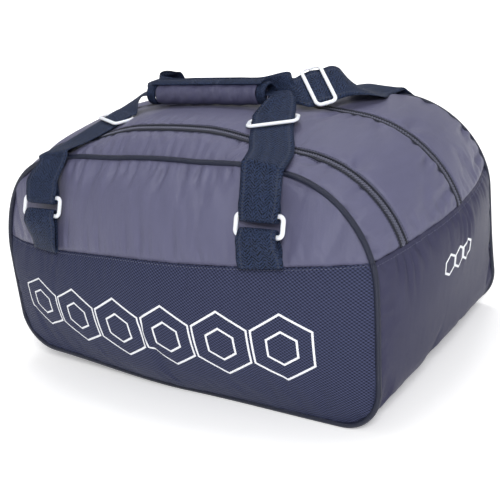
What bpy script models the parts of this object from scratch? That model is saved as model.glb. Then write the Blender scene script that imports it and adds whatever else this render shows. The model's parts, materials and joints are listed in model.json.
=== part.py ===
"""Soft racket holdall with two zipped compartments, built as separate sewn pieces and hardware.

Frame: X runs along the case, the front panel faces -Y, +Z is up, and the origin lies on the
ground under the middle of the base. Everything is in metres.
"""

import math

import bpy
import numpy as np

# The case: an arched front and rear panel joined by a gusset
LENGTH = 0.500
HEIGHT = 0.272
BASE_DEPTH = 0.296
TOP_DEPTH = 0.260
CROWN_RADIUS = 0.900
TOP_CORNER_RADIUS = 0.106
BASE_CORNER_RADIUS = 0.045
SEAM_HEIGHT = 0.175  # the colour break, which is also the fold line of both lids

# How far the filled fabric stands out from the flat pattern
PANEL_BULGE = 0.054
PANEL_BULGE_HEIGHT = 0.45 * HEIGHT
SIDE_BULGE = 0.022
TOP_BULGE = 0.015

# Cloth, piping, webbing and the gaps between neighbours
FABRIC = 0.0020
PIPING_RADIUS = 0.0032
WEBBING = 0.0016
WEBBING_HALF_WIDTH = 0.024
GAP = 0.0006
BOARD = 0.003

# Zips: both lie in planes of constant Y
FRONT_ZIP_Y = -0.0935
BACK_ZIP_Y = 0.0125
ZIP_HALF_WIDTH = 0.0045
ZIP_THICKNESS = 0.0015
SLIDER_LIFT = 0.0022
SLIDER_OFFSET = 0.0038  # sits mostly on the side that stays with the case
SLIDER_HEIGHT = 0.0032
PULL_THICKNESS = 0.0014

# Webbing rings sewn to the panels, and the adjusters on the straps
STRAP_X = 0.147
RING_Z = 0.205
RING_BAR = 0.0023
RING_BAR_SPACING = 0.020
RING_HALF_WIDTH = 0.0282
RING_CORNER = 0.0045
HOOK_CLEARANCE = 0.0005
HOOK_TAIL = 0.012
ADJUSTER_BAR = 0.0017
ADJUSTER_HALF_WIDTH = 0.0268
ADJUSTER_HALF_LENGTH = 0.011
ADJUSTER_SLIDE_ROOM = 0.022

# The padded grip round the front strap
GRIP_Y, GRIP_Z = -0.020, 0.304
GRIP_HALF_LENGTH = 0.082
GRIP_BAND = 0.012
GRIP_RADIUS = 0.0135
GRIP_BORE = 0.0108
CORE_HALF_WIDTH = 0.009
FLAP_HALF_LENGTH = 0.076

BAND_MIDDLE = (FRONT_ZIP_Y + BACK_ZIP_Y) / 2
X_AXIS = np.array((1.0, 0.0, 0.0))
Y_AXIS = np.array((0.0, 1.0, 0.0))
Z_AXIS = np.array((0.0, 0.0, 1.0))
HALF_LENGTH = LENGTH / 2
GROUND = PIPING_RADIUS
SIDE_X = HALF_LENGTH - TOP_CORNER_RADIUS
CROWN_Z = HEIGHT - CROWN_RADIUS
CORNER_Z = CROWN_Z + math.sqrt((CROWN_RADIUS - TOP_CORNER_RADIUS) ** 2 - SIDE_X**2)
CROWN_ANGLE = math.acos(SIDE_X / (CROWN_RADIUS - TOP_CORNER_RADIUS))
CROWN_X = SIDE_X + TOP_CORNER_RADIUS * math.cos(CROWN_ANGLE)
SEAM_ANGLE = math.asin((SEAM_HEIGHT - CORNER_Z) / TOP_CORNER_RADIUS)
SLIDER_ANGLE = SEAM_ANGLE + math.radians(6)
BASE_HALF = HALF_LENGTH - BASE_CORNER_RADIUS
EDGE = PIPING_RADIUS + 1.6 * GAP

COLOURS = {
    "shell_light": ((0.168, 0.168, 0.235), 0.55, 0.0),
    "shell_navy": ((0.028, 0.032, 0.062), 0.65, 0.0),
    "shell_dark": ((0.080, 0.085, 0.125), 0.50, 0.0),
    "piping": ((0.020, 0.026, 0.050), 0.50, 0.0),
    "webbing": ((0.014, 0.018, 0.034), 0.70, 0.0),
    "white_plastic": ((0.80, 0.80, 0.84), 0.35, 0.0),
    "zip_tape": ((0.110, 0.112, 0.140), 0.50, 0.0),
    "zip_metal": ((0.030, 0.032, 0.040), 0.35, 1.0),
    "board": ((0.050, 0.050, 0.055), 0.70, 0.0),
    "lining": ((0.100, 0.102, 0.120), 0.80, 0.0),
}


# ---------------------------------------------------------------- the case's surfaces


def half_depth(z):
    """Half the distance between the two pipings at a height."""
    return (BASE_DEPTH + (TOP_DEPTH - BASE_DEPTH) * z / HEIGHT) / 2


def top_height(x, inset=0.0):
    """Height of the arched outline above a point of the base."""
    x = abs(x)
    if x <= CROWN_X:
        return CROWN_Z + math.sqrt((CROWN_RADIUS - inset) ** 2 - x**2)
    reach = max((TOP_CORNER_RADIUS - inset) ** 2 - (x - SIDE_X) ** 2, 0.0)
    return CORNER_Z + math.sqrt(reach)


def base_height(x, inset=0.0):
    """Height of the outline's lower edge, which turns up round the base corners."""
    x = abs(x)
    if x <= BASE_HALF:
        return GROUND + inset
    reach = max((BASE_CORNER_RADIUS - inset) ** 2 - (x - BASE_HALF) ** 2, 0.0)
    return GROUND + BASE_CORNER_RADIUS - math.sqrt(reach)


def half_width(z):
    """Half the outline's width at a height."""
    if z < GROUND + BASE_CORNER_RADIUS:
        rise = GROUND + BASE_CORNER_RADIUS - z
        return BASE_HALF + math.sqrt(max(BASE_CORNER_RADIUS**2 - rise**2, 0.0))
    if z <= CORNER_Z:
        return HALF_LENGTH
    corner_top = CORNER_Z + TOP_CORNER_RADIUS * math.sin(CROWN_ANGLE)
    if z <= corner_top:
        return SIDE_X + math.sqrt(TOP_CORNER_RADIUS**2 - (z - CORNER_Z) ** 2)
    return math.sqrt(max(CROWN_RADIUS**2 - (z - CROWN_Z) ** 2, 0.0))


def panel_depth(x, z):
    """Distance of the bulging front or rear panel from the plane Y = 0."""
    across = max(1 - (x / max(half_width(z), 1e-6)) ** 2, 0.0) ** 0.85
    if z >= PANEL_BULGE_HEIGHT:
        room = top_height(x) - PANEL_BULGE_HEIGHT
    else:
        room = PANEL_BULGE_HEIGHT - base_height(x)
    rise = max(1 - ((z - PANEL_BULGE_HEIGHT) / room) ** 2, 0.0) ** 0.8
    return half_depth(z) + PANEL_BULGE * across * rise


def fullness(z):
    """How much of the gusset's bulge is present at a height: none at the base, all from mid height."""
    share = min(max(z / (0.6 * HEIGHT), 0.0), 1.0)
    return share * share * (3 - 2 * share)


def gusset_point(edge, y, lift=0.0):
    """A point of the gusset beside an outline point (x, z, normal x, normal z)."""
    x, z, nx, nz = edge
    bulge = (1 - (y / half_depth(z)) ** 2) * fullness(z)
    return (
        x + nx * (SIDE_BULGE * bulge + lift),
        y,
        z + nz * (TOP_BULGE * bulge + lift),
    )


def top_surface(x, y):
    """Height of the gusset over a point of the top."""
    return top_height(x) + TOP_BULGE * (1 - (y / half_depth(HEIGHT)) ** 2)


def arc(centre_x, centre_z, radius, start, end, count):
    """Outline points on an arc, each with its outward normal."""
    found = []
    for angle in np.linspace(start, end, count):
        c, s = math.cos(angle), math.sin(angle)
        found.append((centre_x + radius * c, centre_z + radius * s, c, s))
    return found


def mirrored(edges):
    """The same outline points on the other end of the case."""
    return [(-x, z, -nx, nz) for x, z, nx, nz in edges]


def upper_run(gap=GAP, corner_count=7, crown_count=6):
    """Outline points above the seam, from the left end over the top to the right end."""
    trim = gap / 2 / TOP_CORNER_RADIUS
    corner = arc(SIDE_X, CORNER_Z, TOP_CORNER_RADIUS, SEAM_ANGLE + trim, CROWN_ANGLE, corner_count)
    crown = arc(0, CROWN_Z, CROWN_RADIUS, CROWN_ANGLE, math.pi / 2, crown_count)
    right = corner + crown[1:]
    return mirrored(right) + right[-2::-1]


def end_run(gap=GAP, corner_count=7, seam_count=3):
    """Outline points of the right end below the seam, from the base corner up."""
    trim = gap / 2 / TOP_CORNER_RADIUS
    start = -math.pi / 2 + GAP / BASE_CORNER_RADIUS
    low = arc(BASE_HALF, GROUND + BASE_CORNER_RADIUS, BASE_CORNER_RADIUS, start, 0, corner_count)
    middle_z = (GROUND + BASE_CORNER_RADIUS + CORNER_Z) / 2
    high = arc(SIDE_X, CORNER_Z, TOP_CORNER_RADIUS, 0, SEAM_ANGLE - trim, seam_count)
    return low + [(HALF_LENGTH, middle_z, 1.0, 0.0)] + high


# ---------------------------------------------------------------- mesh and material helpers


def clear_scene():
    for obj in list(bpy.data.objects):
        bpy.data.objects.remove(obj)


def material(name):
    """A Principled material from the colour table, made once."""
    found = bpy.data.materials.get(name)
    if found:
        return found
    colour, roughness, metallic = COLOURS[name]
    made = bpy.data.materials.new(name)
    made.use_nodes = True
    shader = made.node_tree.nodes["Principled BSDF"]
    shader.inputs["Base Color"].default_value = (*colour, 1.0)
    shader.inputs["Roughness"].default_value = roughness
    shader.inputs["Metallic"].default_value = metallic
    return made


def signed_volume(points, faces):
    total = 0.0
    for face in faces:
        for k in range(1, len(face) - 1):
            total += np.dot(points[face[0]], np.cross(points[face[k]], points[face[k + 1]]))
    return total


def add_solid(name, points, faces, finish, origin=(0, 0, 0), smooth=40):
    """Links one closed mesh with outward faces, its origin on its joint or at its middle."""
    points = np.array(points, float)
    if signed_volume(points, faces) < 0:
        faces = [tuple(reversed(face)) for face in faces]
    mesh = bpy.data.meshes.new(name)
    mesh.from_pydata((points - np.array(origin)).tolist(), [], faces)
    mesh.shade_smooth()
    mesh.set_sharp_from_angle(angle=math.radians(smooth))
    mesh.materials.append(material(finish))
    obj = bpy.data.objects.new(name, mesh)
    obj.location = origin
    bpy.context.scene.collection.objects.link(obj)
    return obj


def sheet(name, outer, finish, thickness=FABRIC, origin=(0, 0, 0)):
    """A closed cloth panel: a grid of outer points, thickened towards the inside of the case."""
    outer = np.array(outer, float)
    rows, columns = outer.shape[:2]
    along = np.gradient(outer, axis=0)
    across = np.gradient(outer, axis=1)
    normal = np.cross(along, across)
    normal /= np.linalg.norm(normal, axis=2)[..., None]
    middle = np.array((0, 0, HEIGHT / 2))
    if np.sum(normal * (outer - middle)) < 0:
        normal = -normal
    inner = outer - normal * thickness
    points = np.concatenate([outer.reshape(-1, 3), inner.reshape(-1, 3)])
    count = rows * columns

    def at(i, j, layer):
        return layer * count + i * columns + j

    faces = []
    for i in range(rows - 1):
        for j in range(columns - 1):
            faces.append((at(i, j, 0), at(i + 1, j, 0), at(i + 1, j + 1, 0), at(i, j + 1, 0)))
            faces.append((at(i, j + 1, 1), at(i + 1, j + 1, 1), at(i + 1, j, 1), at(i, j, 1)))
    rim = [(i, 0) for i in range(rows)] + [(rows - 1, j) for j in range(1, columns)]
    rim += [(i, columns - 1) for i in range(rows - 2, -1, -1)]
    rim += [(0, j) for j in range(columns - 2, 0, -1)]
    for (i, j), (k, m) in zip(rim, rim[1:] + rim[:1]):
        faces.append((at(i, j, 1), at(k, m, 1), at(k, m, 0), at(i, j, 0)))
    return add_solid(name, points, faces, finish, origin)


def sweep(name, sections, finish, origin=(0, 0, 0), closed=False, smooth=40):
    """Skins a run of equal cross-sections, capped at both ends unless it closes on itself."""
    sections = np.array(sections, float)
    stations, sides = sections.shape[:2]
    faces = []
    for i in range(stations if closed else stations - 1):
        k = (i + 1) % stations
        for j in range(sides):
            m = (j + 1) % sides
            faces.append((i * sides + j, i * sides + m, k * sides + m, k * sides + j))
    if not closed:
        faces.append(tuple(range(sides - 1, -1, -1)))
        faces.append(tuple((stations - 1) * sides + j for j in range(sides)))
    return add_solid(name, sections.reshape(-1, 3), faces, finish, origin, smooth)


def tangents(path, closed=False):
    path = np.array(path, float)
    if closed:
        run = np.roll(path, -1, axis=0) - np.roll(path, 1, axis=0)
    else:
        run = np.gradient(path, axis=0)
    return run / np.linalg.norm(run, axis=1)[:, None]


def tube_sections(path, radius, sides, closed=False):
    """Round cross-sections along a path, carried from one to the next without twist."""
    path = np.array(path, float)
    run = tangents(path, closed)
    side = np.cross(run[0], (0.31, 0.89, 0.33))
    sections = []
    for point, along in zip(path, run):
        side = side - along * np.dot(side, along)
        side /= np.linalg.norm(side)
        up = np.cross(along, side)
        ring = []
        for angle in np.arange(sides) * 2 * math.pi / sides:
            ring.append(point + radius * (side * math.cos(angle) + up * math.sin(angle)))
        sections.append(ring)
    return sections


def ribbon(name, stations, finish, thickness=WEBBING, origin=(0, 0, 0)):
    """Flat webbing along stations of (centre, face normal, half width, direction across or None)."""
    centres = np.array([station[0] for station in stations], float)
    run = tangents(centres)
    sections = []
    for (centre, normal, half, across), along in zip(stations, run):
        if across is None:
            across = unit(np.cross(along, normal))
            face = np.cross(across, along)
        else:
            face = unit(normal)
        centre = np.array(centre, float)
        wide, thick = across * half, face * thickness / 2
        sections.append(
            [centre - wide - thick, centre + wide - thick, centre + wide + thick, centre - wide + thick]
        )
    return sweep(name, sections, finish, origin)


def rounded_loop(half_u, half_v, corner, steps=4):
    """A rounded rectangle as (u, v) pairs, once round."""
    found = []
    for quarter, (su, sv) in enumerate(((1, 1), (-1, 1), (-1, -1), (1, -1))):
        for k in range(steps + 1):
            angle = math.pi / 2 * (quarter + k / steps)
            found.append(
                (
                    su * (half_u - corner) + corner * math.cos(angle),
                    sv * (half_v - corner) + corner * math.sin(angle),
                )
            )
    return found


def unit(vector):
    vector = np.array(vector, float)
    return vector / np.linalg.norm(vector)


# ---------------------------------------------------------------- panels, gussets and piping


def panel_grid(side, low, high, columns, rows):
    """Outer points of the front (side -1) or rear (side +1) panel between two heights."""
    reach = min(half_width(max(low, PANEL_BULGE_HEIGHT)), half_width(high)) - EDGE
    reach = max(reach, SIDE_X + math.sqrt((TOP_CORNER_RADIUS - EDGE) ** 2 - (low - CORNER_Z) ** 2)
                if low > CORNER_Z else HALF_LENGTH - EDGE) - 0.0012
    grid = []
    for share in np.sin(np.linspace(-math.pi / 2, math.pi / 2, columns)):
        x = reach * share
        bottom = max(low, base_height(x, EDGE))
        top = min(high, top_height(x, EDGE))
        column = []
        for k in np.linspace(0, 1, rows):
            z = bottom + (top - bottom) * k
            column.append((x, side * panel_depth(x, z), z))
        grid.append(column)
    return grid


def make_panels():
    seam_low, seam_high = SEAM_HEIGHT - GAP / 2, SEAM_HEIGHT + GAP / 2
    for word, side in (("front", -1), ("back", 1)):
        upper = panel_grid(side, seam_high, HEIGHT, 15, 6)
        lower = panel_grid(side, 0.0, seam_low, 15, 7)
        sheet(f"{word}_upper_panel", upper, "shell_light", origin=lid_axis(side))
        sheet(f"{word}_lower_panel", lower, "shell_navy")


def strip_grid(edges, near, far, count):
    """Gusset points between two Y positions, each a number or a function of height."""
    grid = []
    for edge in edges:
        start = near(edge[1]) if callable(near) else near
        end = far(edge[1]) if callable(far) else far
        grid.append([gusset_point(edge, y) for y in np.linspace(start, end, count)])
    return grid


def front_edge(z):
    return -half_depth(z) + EDGE


def back_edge(z):
    return half_depth(z) - EDGE


def make_gussets():
    run = upper_run()
    strips = (
        ("front_gusset_strip", front_edge, FRONT_ZIP_Y - ZIP_HALF_WIDTH, 3, lid_axis(-1)),
        ("middle_top_band", FRONT_ZIP_Y + ZIP_HALF_WIDTH, BACK_ZIP_Y - ZIP_HALF_WIDTH, 4, (0, 0, 0)),
        ("back_gusset_strip", BACK_ZIP_Y + ZIP_HALF_WIDTH, back_edge, 5, lid_axis(1)),
    )
    for name, near, far, count, origin in strips:
        sheet(name, strip_grid(run, near, far, count), "shell_light", origin=origin)
    for name, edges in (("right_end_panel", end_run()), ("left_end_panel", mirrored(end_run()))):
        sheet(name, strip_grid(edges, front_edge, back_edge, 7), "shell_dark")


def make_zips():
    run = upper_run()
    for word, zip_y, side in (("front", FRONT_ZIP_Y, -1), ("back", BACK_ZIP_Y, 1)):
        outer = zip_y + side * (ZIP_HALF_WIDTH - GAP)
        inner = zip_y - side * (ZIP_HALF_WIDTH - GAP)
        lid_grid = strip_grid(run, zip_y + side * GAP / 2, outer, 2)
        band_grid = strip_grid(run, zip_y - side * GAP / 2, inner, 2)
        sheet(f"{word}_zip_lid_chain", lid_grid, "zip_tape", ZIP_THICKNESS, lid_axis(side))
        sheet(f"{word}_zip_band_chain", band_grid, "zip_tape", ZIP_THICKNESS)


def make_piping():
    lower = [(0.0, GROUND, 0.0, -1.0), (BASE_HALF * 0.6, GROUND, 0.0, -1.0)] + end_run(2.5 * GAP)
    lower = mirrored(lower)[:0:-1] + lower
    for word, side in (("front", -1), ("back", 1)):
        for part, edges, origin in (
            ("upper", upper_run(2.5 * GAP), lid_axis(side)),
            ("lower", lower, (0, 0, 0)),
        ):
            path = [(x, side * half_depth(z), z) for x, z, _, _ in edges]
            sections = tube_sections(path, PIPING_RADIUS, 6)
            sweep(f"{word}_piping_{part}", sections, "piping", origin, smooth=70)


def make_base():
    """The base cloth on the ground, the stiff board on it and the divider that stands on that."""
    reach = BASE_HALF - GAP
    depth = half_depth(0) - EDGE
    box("base_panel", (-reach, -depth, 0), (reach, depth, FABRIC), "shell_dark")
    inset = 0.010
    low = FABRIC + GAP
    box("base_board", (inset - reach, inset - depth, low), (reach - inset, depth - inset, low + BOARD), "board")
    make_divider(low + BOARD + GAP)


def make_divider(low):
    """The padded wall between the compartments, cut to the outline and kept off the gusset."""
    inset = 0.010
    reach = HALF_LENGTH - inset - 0.002
    grid = []
    for share in np.sin(np.linspace(-math.pi / 2, math.pi / 2, 11)):
        x = reach * share
        bottom = max(low, base_height(x, inset))
        top = top_height(x, inset)
        grid.append([(x, BAND_MIDDLE, bottom + (top - bottom) * k) for k in np.linspace(0, 1, 4)])
    sheet("compartment_divider", grid, "lining")


def box(name, low, high, finish):
    """A plain slab between two corners."""
    points = [
        (x, y, z) for z in (low[2], high[2]) for y in (low[1], high[1]) for x in (low[0], high[0])
    ]
    faces = [(0, 2, 3, 1), (4, 5, 7, 6), (0, 1, 5, 4), (2, 6, 7, 3), (0, 4, 6, 2), (1, 3, 7, 5)]
    return add_solid(name, points, faces, finish)


# ---------------------------------------------------------------- joint axes


def lid_axis(side):
    """A point on the fold line of a lid: at the seam, just outside the fullest part of the panel."""
    return (0.0, side * (panel_depth(0, SEAM_HEIGHT) + 0.0015), SEAM_HEIGHT)


def ring_frame(side):
    """Centre of a ring's lower bar in the YZ plane, with the directions up and out of the panel."""
    inner_x = STRAP_X - WEBBING_HALF_WIDTH
    y_low = panel_depth(inner_x, RING_Z)
    y_high = panel_depth(inner_x, RING_Z + RING_BAR_SPACING)
    up = unit((0, side * (y_high - y_low), RING_BAR_SPACING))
    out = np.array((0, side * up[2], -side * up[1]))
    centre = np.array((0, side * y_low, RING_Z)) + out * (hook_radius() + WEBBING / 2 + 2 * GAP)
    return centre, up, out


def hook_radius():
    """Radius of the webbing's middle line where it loops round a ring's bar."""
    return RING_BAR + HOOK_CLEARANCE + WEBBING / 2


def handle_axis(side):
    centre, up, _ = ring_frame(side)
    return centre + up * RING_BAR_SPACING


# ---------------------------------------------------------------- rings, anchors and straps


def hook(centre, up, out, turn, steps=7):
    """Webbing stations round a bar: from the inner side over (turn 1) or under (turn -1) it."""
    found = []
    for angle in np.linspace(0, math.pi, steps):
        radial = -out * math.cos(angle) + up * turn * math.sin(angle)
        found.append((centre + radial * hook_radius(), radial))
    return found


def make_rings():
    for word, side in (("front", -1), ("back", 1)):
        low_bar, up, _ = ring_frame(side)
        middle = low_bar + up * RING_BAR_SPACING / 2
        loop = rounded_loop(RING_HALF_WIDTH, RING_BAR_SPACING / 2, RING_CORNER, 3)
        for hand, x in (("left", -STRAP_X), ("right", STRAP_X)):
            path = [middle + np.array((x + u, 0, 0)) + up * v for u, v in loop]
            sections = tube_sections(path, RING_BAR, 6, closed=True)
            sweep(f"{hand}_{word}_ring", sections, "white_plastic", low_bar, True, 70)


def make_anchors():
    """Webbing sewn to each upper panel at the seam, looped over a ring's lower bar."""
    for word, side in (("front", -1), ("back", 1)):
        bar, up, out = ring_frame(side)
        for hand, x in (("left", -STRAP_X), ("right", STRAP_X)):
            stations = []
            for z in (SEAM_HEIGHT + 2 * GAP, SEAM_HEIGHT + 0.012):
                stations.append(anchor_foot(x, z, side))
            shift = np.array((x, 0, 0))
            for centre, radial in hook(bar + shift, up, out, 1):
                stations.append((centre, radial, WEBBING_HALF_WIDTH, X_AXIS))
            tail = bar + shift + out * hook_radius() - up * HOOK_TAIL
            stations.append((tail, out, WEBBING_HALF_WIDTH, X_AXIS))
            ribbon(f"{hand}_{word}_anchor", stations, "webbing", origin=lid_axis(side))


def anchor_foot(x, z, side):
    """A station that lies on the panel and turns with it."""
    reach = WEBBING_HALF_WIDTH
    inner = panel_depth(x - reach, z)
    outer = panel_depth(x + reach, z)
    yaw = unit((2 * reach, side * (outer - inner), 0))
    normal = unit((side * yaw[1], -side * yaw[0], 0))
    middle = max((inner + outer) / 2, panel_depth(x, z)) + WEBBING / 2 + 2 * GAP
    return np.array((x, side * middle, z)), normal, reach, yaw


def strap_hook(side):
    """Stations of the right end of a strap, from its sewn tail round the ring's upper bar."""
    _, up, out = ring_frame(side)
    bar = handle_axis(side) + np.array((STRAP_X, 0, 0))
    tail = bar - out * hook_radius() + up * HOOK_TAIL
    across = -side * X_AXIS
    stations = [(tail, -out, WEBBING_HALF_WIDTH, across)]
    for centre, radial in hook(bar, up, out, -1):
        stations.append((centre, radial, WEBBING_HALF_WIDTH, across))
    rise = bar + out * hook_radius() + up * HOOK_TAIL
    stations.append((rise, out, WEBBING_HALF_WIDTH, across))
    return stations


def shoulder(x, side, lift=0.0024):
    """Stations where a strap bends over the piping, lying along it."""
    z = top_height(x)
    slope = -x / (z - CROWN_Z)
    across = -side * unit((1, 0, slope))
    bend = PIPING_RADIUS + WEBBING / 2 + lift
    stations = []
    for degrees in (15, 45, 75):
        lean = math.radians(degrees)
        normal = unit((-slope * math.sin(lean), side * math.cos(lean), math.sin(lean)))
        centre = np.array((x, side * half_depth(z), z)) + normal * bend
        stations.append((centre, normal, WEBBING_HALF_WIDTH, across))
    return stations


def adjuster_frame(side, hand):
    """Centre, strap direction and face normal of an adjuster, as it would sit on the right."""
    if side < 0:
        centre = np.array((0.108, -0.061, top_surface(0.108, -0.061) + 0.0095))
        return centre, unit((-0.42, 0.85, 0.22)), unit((0.10, -0.22, 0.97))
    if hand < 0:
        return np.array((0.1127, 0.0500, 0.2907)), unit((-0.410, -0.869, 0.277)), unit((0.118, 0.249, 0.960))
    centre = np.array((0.119, 0.014, 0.3015))
    return centre, unit((-0.83, -0.53, 0.16)), unit((0.22, -0.55, 0.80))


def adjuster_run(side, hand):
    """Stations of the flat stretch of strap on which an adjuster can slide."""
    centre, along, normal = adjuster_frame(side, hand)
    across = unit(np.cross(along, normal))
    face = np.cross(across, along)
    full = WEBBING_HALF_WIDTH
    return [(centre + along * step * ADJUSTER_SLIDE_ROOM, face, full, across) for step in (-1, 0, 1)]


def front_strap_half():
    """The right half of the front strap, from its ring to the middle of the grip."""
    full = WEBBING_HALF_WIDTH
    stations = strap_hook(-1) + shoulder(0.141, -1)
    low = np.array((0.132, -0.106, top_surface(0.132, -0.106) + 0.0045))
    stations.append((low, (0.16, -0.15, 1), full, None))
    stations += adjuster_run(-1, 1)
    throat = np.array((GRIP_HALF_LENGTH + 0.013, GRIP_Y - 0.003, GRIP_Z))
    stations.append((throat, Z_AXIS, 0.013, unit((0.45, 0.9, 0))))
    for x in (GRIP_HALF_LENGTH + 0.001, 0.040, 0.0):
        stations.append((np.array((x, GRIP_Y, GRIP_Z)), Z_AXIS, CORE_HALF_WIDTH, Y_AXIS))
    return stations


def back_strap_half(hand):
    """Half of the rear strap, as it would lie on the right: it runs on edge behind the grip.

    The right half (hand 1) lies in a wide loop, the left half (hand -1) goes straight back.
    """
    centre, along, _ = adjuster_frame(1, hand)
    full = WEBBING_HALF_WIDTH
    core_y = GRIP_Y + GRIP_RADIUS + WEBBING / 2 + 0.0026
    core_z = GRIP_Z + 0.004
    stations = strap_hook(1) + shoulder(0.150, 1)
    if hand > 0:
        stations.append((np.array((0.170, 0.104, 0.2745)), (0.30, 0.10, 1), full, None))
        stations.append((np.array((0.172, 0.070, 0.2835)), (0.35, -0.15, 1), full, None))
        stations.append((centre - along * 0.042, (0.30, -0.35, 0.9), full, None))
    stations += adjuster_run(1, hand)
    if hand < 0:
        stations.append((np.array((0.0955, 0.014, 0.3040)), (0.06, -0.40, 0.9), 0.019, None))
    throat = np.array((GRIP_HALF_LENGTH + 0.004, core_y + 0.002, core_z))
    stations.append((throat, (0, -0.9, 0.3), 0.013, None))
    for x in (0.060, 0.030, 0.0):
        stations.append((np.array((x, core_y, core_z)), (0, -1, 0.1), CORE_HALF_WIDTH, None))
    return stations


def make_straps():
    flip = np.array((-1, 1, 1))
    for name, right, left, axis in (
        ("front_strap", front_strap_half(), front_strap_half(), handle_axis(-1)),
        ("back_strap", back_strap_half(1), back_strap_half(-1), handle_axis(1)),
    ):
        other = []
        for centre, normal, width, across in left[-2::-1]:
            turned = None if across is None else across * flip
            other.append((centre * flip, np.array(normal) * flip, width, turned))
        ribbon(name, right + other, "webbing", origin=axis)


def make_adjusters():
    """White three-bar slides: a frame over the webbing and a middle bar under it."""
    for word, side in (("front", -1), ("back", 1)):
        for name, hand in (("left", -1), ("right", 1)):
            flip = np.array((hand, 1, 1))
            centre, along, normal = adjuster_frame(side, hand)
            adjuster(f"{name}_{word}_adjuster", centre * flip, along * flip, normal * flip)


def adjuster(name, centre, along, normal):
    across = unit(np.cross(along, normal))
    face = np.cross(across, along)
    height = WEBBING / 2 + HOOK_CLEARANCE + ADJUSTER_BAR
    loop = rounded_loop(ADJUSTER_HALF_WIDTH, ADJUSTER_HALF_LENGTH, 0.005, 3)
    path = [centre + face * height + across * u + along * v for u, v in loop]
    frame = sweep(name, tube_sections(path, ADJUSTER_BAR, 6, True), "white_plastic", centre, True, 70)
    reach = ADJUSTER_HALF_WIDTH
    drop = ((-reach, height), (-reach, -height * 0.6), (1.6 * ADJUSTER_BAR - reach, -height))
    ends = [centre + across * u + face * v for u, v in drop]
    other = [centre - across * u + face * v for u, v in drop[::-1]]
    bar_sections = tube_sections(ends + other, ADJUSTER_BAR * 0.9, 6)
    bar = sweep(name + "_bar", bar_sections, "white_plastic", centre, False, 70)
    union(frame, bar)


def union(target, extra):
    """Joins a helper into a target, and hides the helper."""
    modifier = target.modifiers.new("join", "BOOLEAN")
    modifier.operation = "UNION"
    modifier.solver = "EXACT"
    modifier.object = extra
    extra.hide_render = True
    extra.display_type = "WIRE"


# ---------------------------------------------------------------- grip


def ring_sleeve(name, x_low, x_high, outer, inner, finish, sides=12):
    """A sleeve along X round the grip's axis, open at both ends."""
    sections = []
    for x, radius in ((x_low, outer), (x_high, outer), (x_high, inner), (x_low, inner)):
        section = []
        for angle in np.arange(sides) * 2 * math.pi / sides:
            section.append((x, GRIP_Y + radius * math.cos(angle), GRIP_Z + radius * math.sin(angle)))
        sections.append(section)
    return sweep(name, sections, finish, handle_axis(-1), closed=True)


def make_grip():
    inner_end = GRIP_HALF_LENGTH - GRIP_BAND
    ring_sleeve("grip_sleeve", GAP - inner_end, inner_end - GAP, GRIP_RADIUS, GRIP_BORE, "shell_light")
    band_radius = GRIP_RADIUS + 0.0004
    ring_sleeve("right_grip_band", inner_end, GRIP_HALF_LENGTH, band_radius, GRIP_BORE, "webbing")
    ring_sleeve("left_grip_band", -GRIP_HALF_LENGTH, -inner_end, band_radius, GRIP_BORE, "webbing")
    make_flap(GRIP_RADIUS + 3 * GAP)


def make_flap(inner):
    """The hook-and-loop flap that lies over the top of the grip and lifts about its rear edge."""
    outer = inner + WEBBING
    sections = []
    for radius_pair in (outer, inner):
        angles = np.radians(np.linspace(72, 138, 7))
        if radius_pair == inner:
            angles = angles[::-1]
        for angle in angles:
            sections.append((GRIP_Y + radius_pair * math.cos(angle), GRIP_Z + radius_pair * math.sin(angle)))
    profiles = [[(x, y, z) for y, z in sections] for x in (-FLAP_HALF_LENGTH, 0.0, FLAP_HALF_LENGTH)]
    sweep("grip_flap", profiles, "webbing", flap_axis())


def flap_axis():
    radius = GRIP_RADIUS + 3 * GAP + WEBBING / 2
    angle = math.radians(72)
    return (0.0, GRIP_Y + radius * math.cos(angle), GRIP_Z + radius * math.sin(angle))


# ---------------------------------------------------------------- zip sliders


def zip_point(zip_y, angle, lift):
    """A point over a zip where it rounds the left top corner, with the outline's normal there."""
    edge = mirrored(arc(SIDE_X, CORNER_Z, TOP_CORNER_RADIUS, angle, angle, 1))[0]
    return np.array(gusset_point(edge, zip_y, lift)), np.array((edge[2], 0, edge[3]))


def slider_frame(zip_y):
    """Where a parked slider sits: its base, the direction up along the zip and the way out."""
    towards_band = math.copysign(SLIDER_OFFSET, BAND_MIDDLE - zip_y)
    base, out = zip_point(zip_y + towards_band, SLIDER_ANGLE, SLIDER_LIFT)
    return base, np.array((out[2], 0, -out[0])), out


def slider_axis(zip_y):
    """Centre of the circle that the zip follows round the left top corner."""
    places = [zip_point(zip_y, angle, 0)[0] for angle in np.linspace(SLIDER_ANGLE, CROWN_ANGLE, 3)]
    (ax, _, az), (bx, _, bz), (cx, _, cz) = places
    first = (bx**2 - ax**2 + bz**2 - az**2) / 2
    second = (cx**2 - bx**2 + cz**2 - bz**2) / 2
    scale = (bx - ax) * (cz - bz) - (cx - bx) * (bz - az)
    return (
        (first * (cz - bz) - second * (bz - az)) / scale,
        zip_y,
        (second * (bx - ax) - first * (cx - bx)) / scale,
    )


def tapered_block(name, centre, up, out, outline, levels, finish, origin):
    """A flat block from (along, across) pairs, at levels of (height, outline share)."""
    across = np.cross(up, out)
    sections = []
    for height, share in levels:
        base = np.array(centre) + out * height
        sections.append([base + (up * a + across * b) * share for a, b in outline])
    return sweep(name, sections, finish, origin)


def two_sided(outline):
    """A symmetric outline from the pairs on one side."""
    return outline + [(a, -b) for a, b in outline[::-1]]


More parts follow.
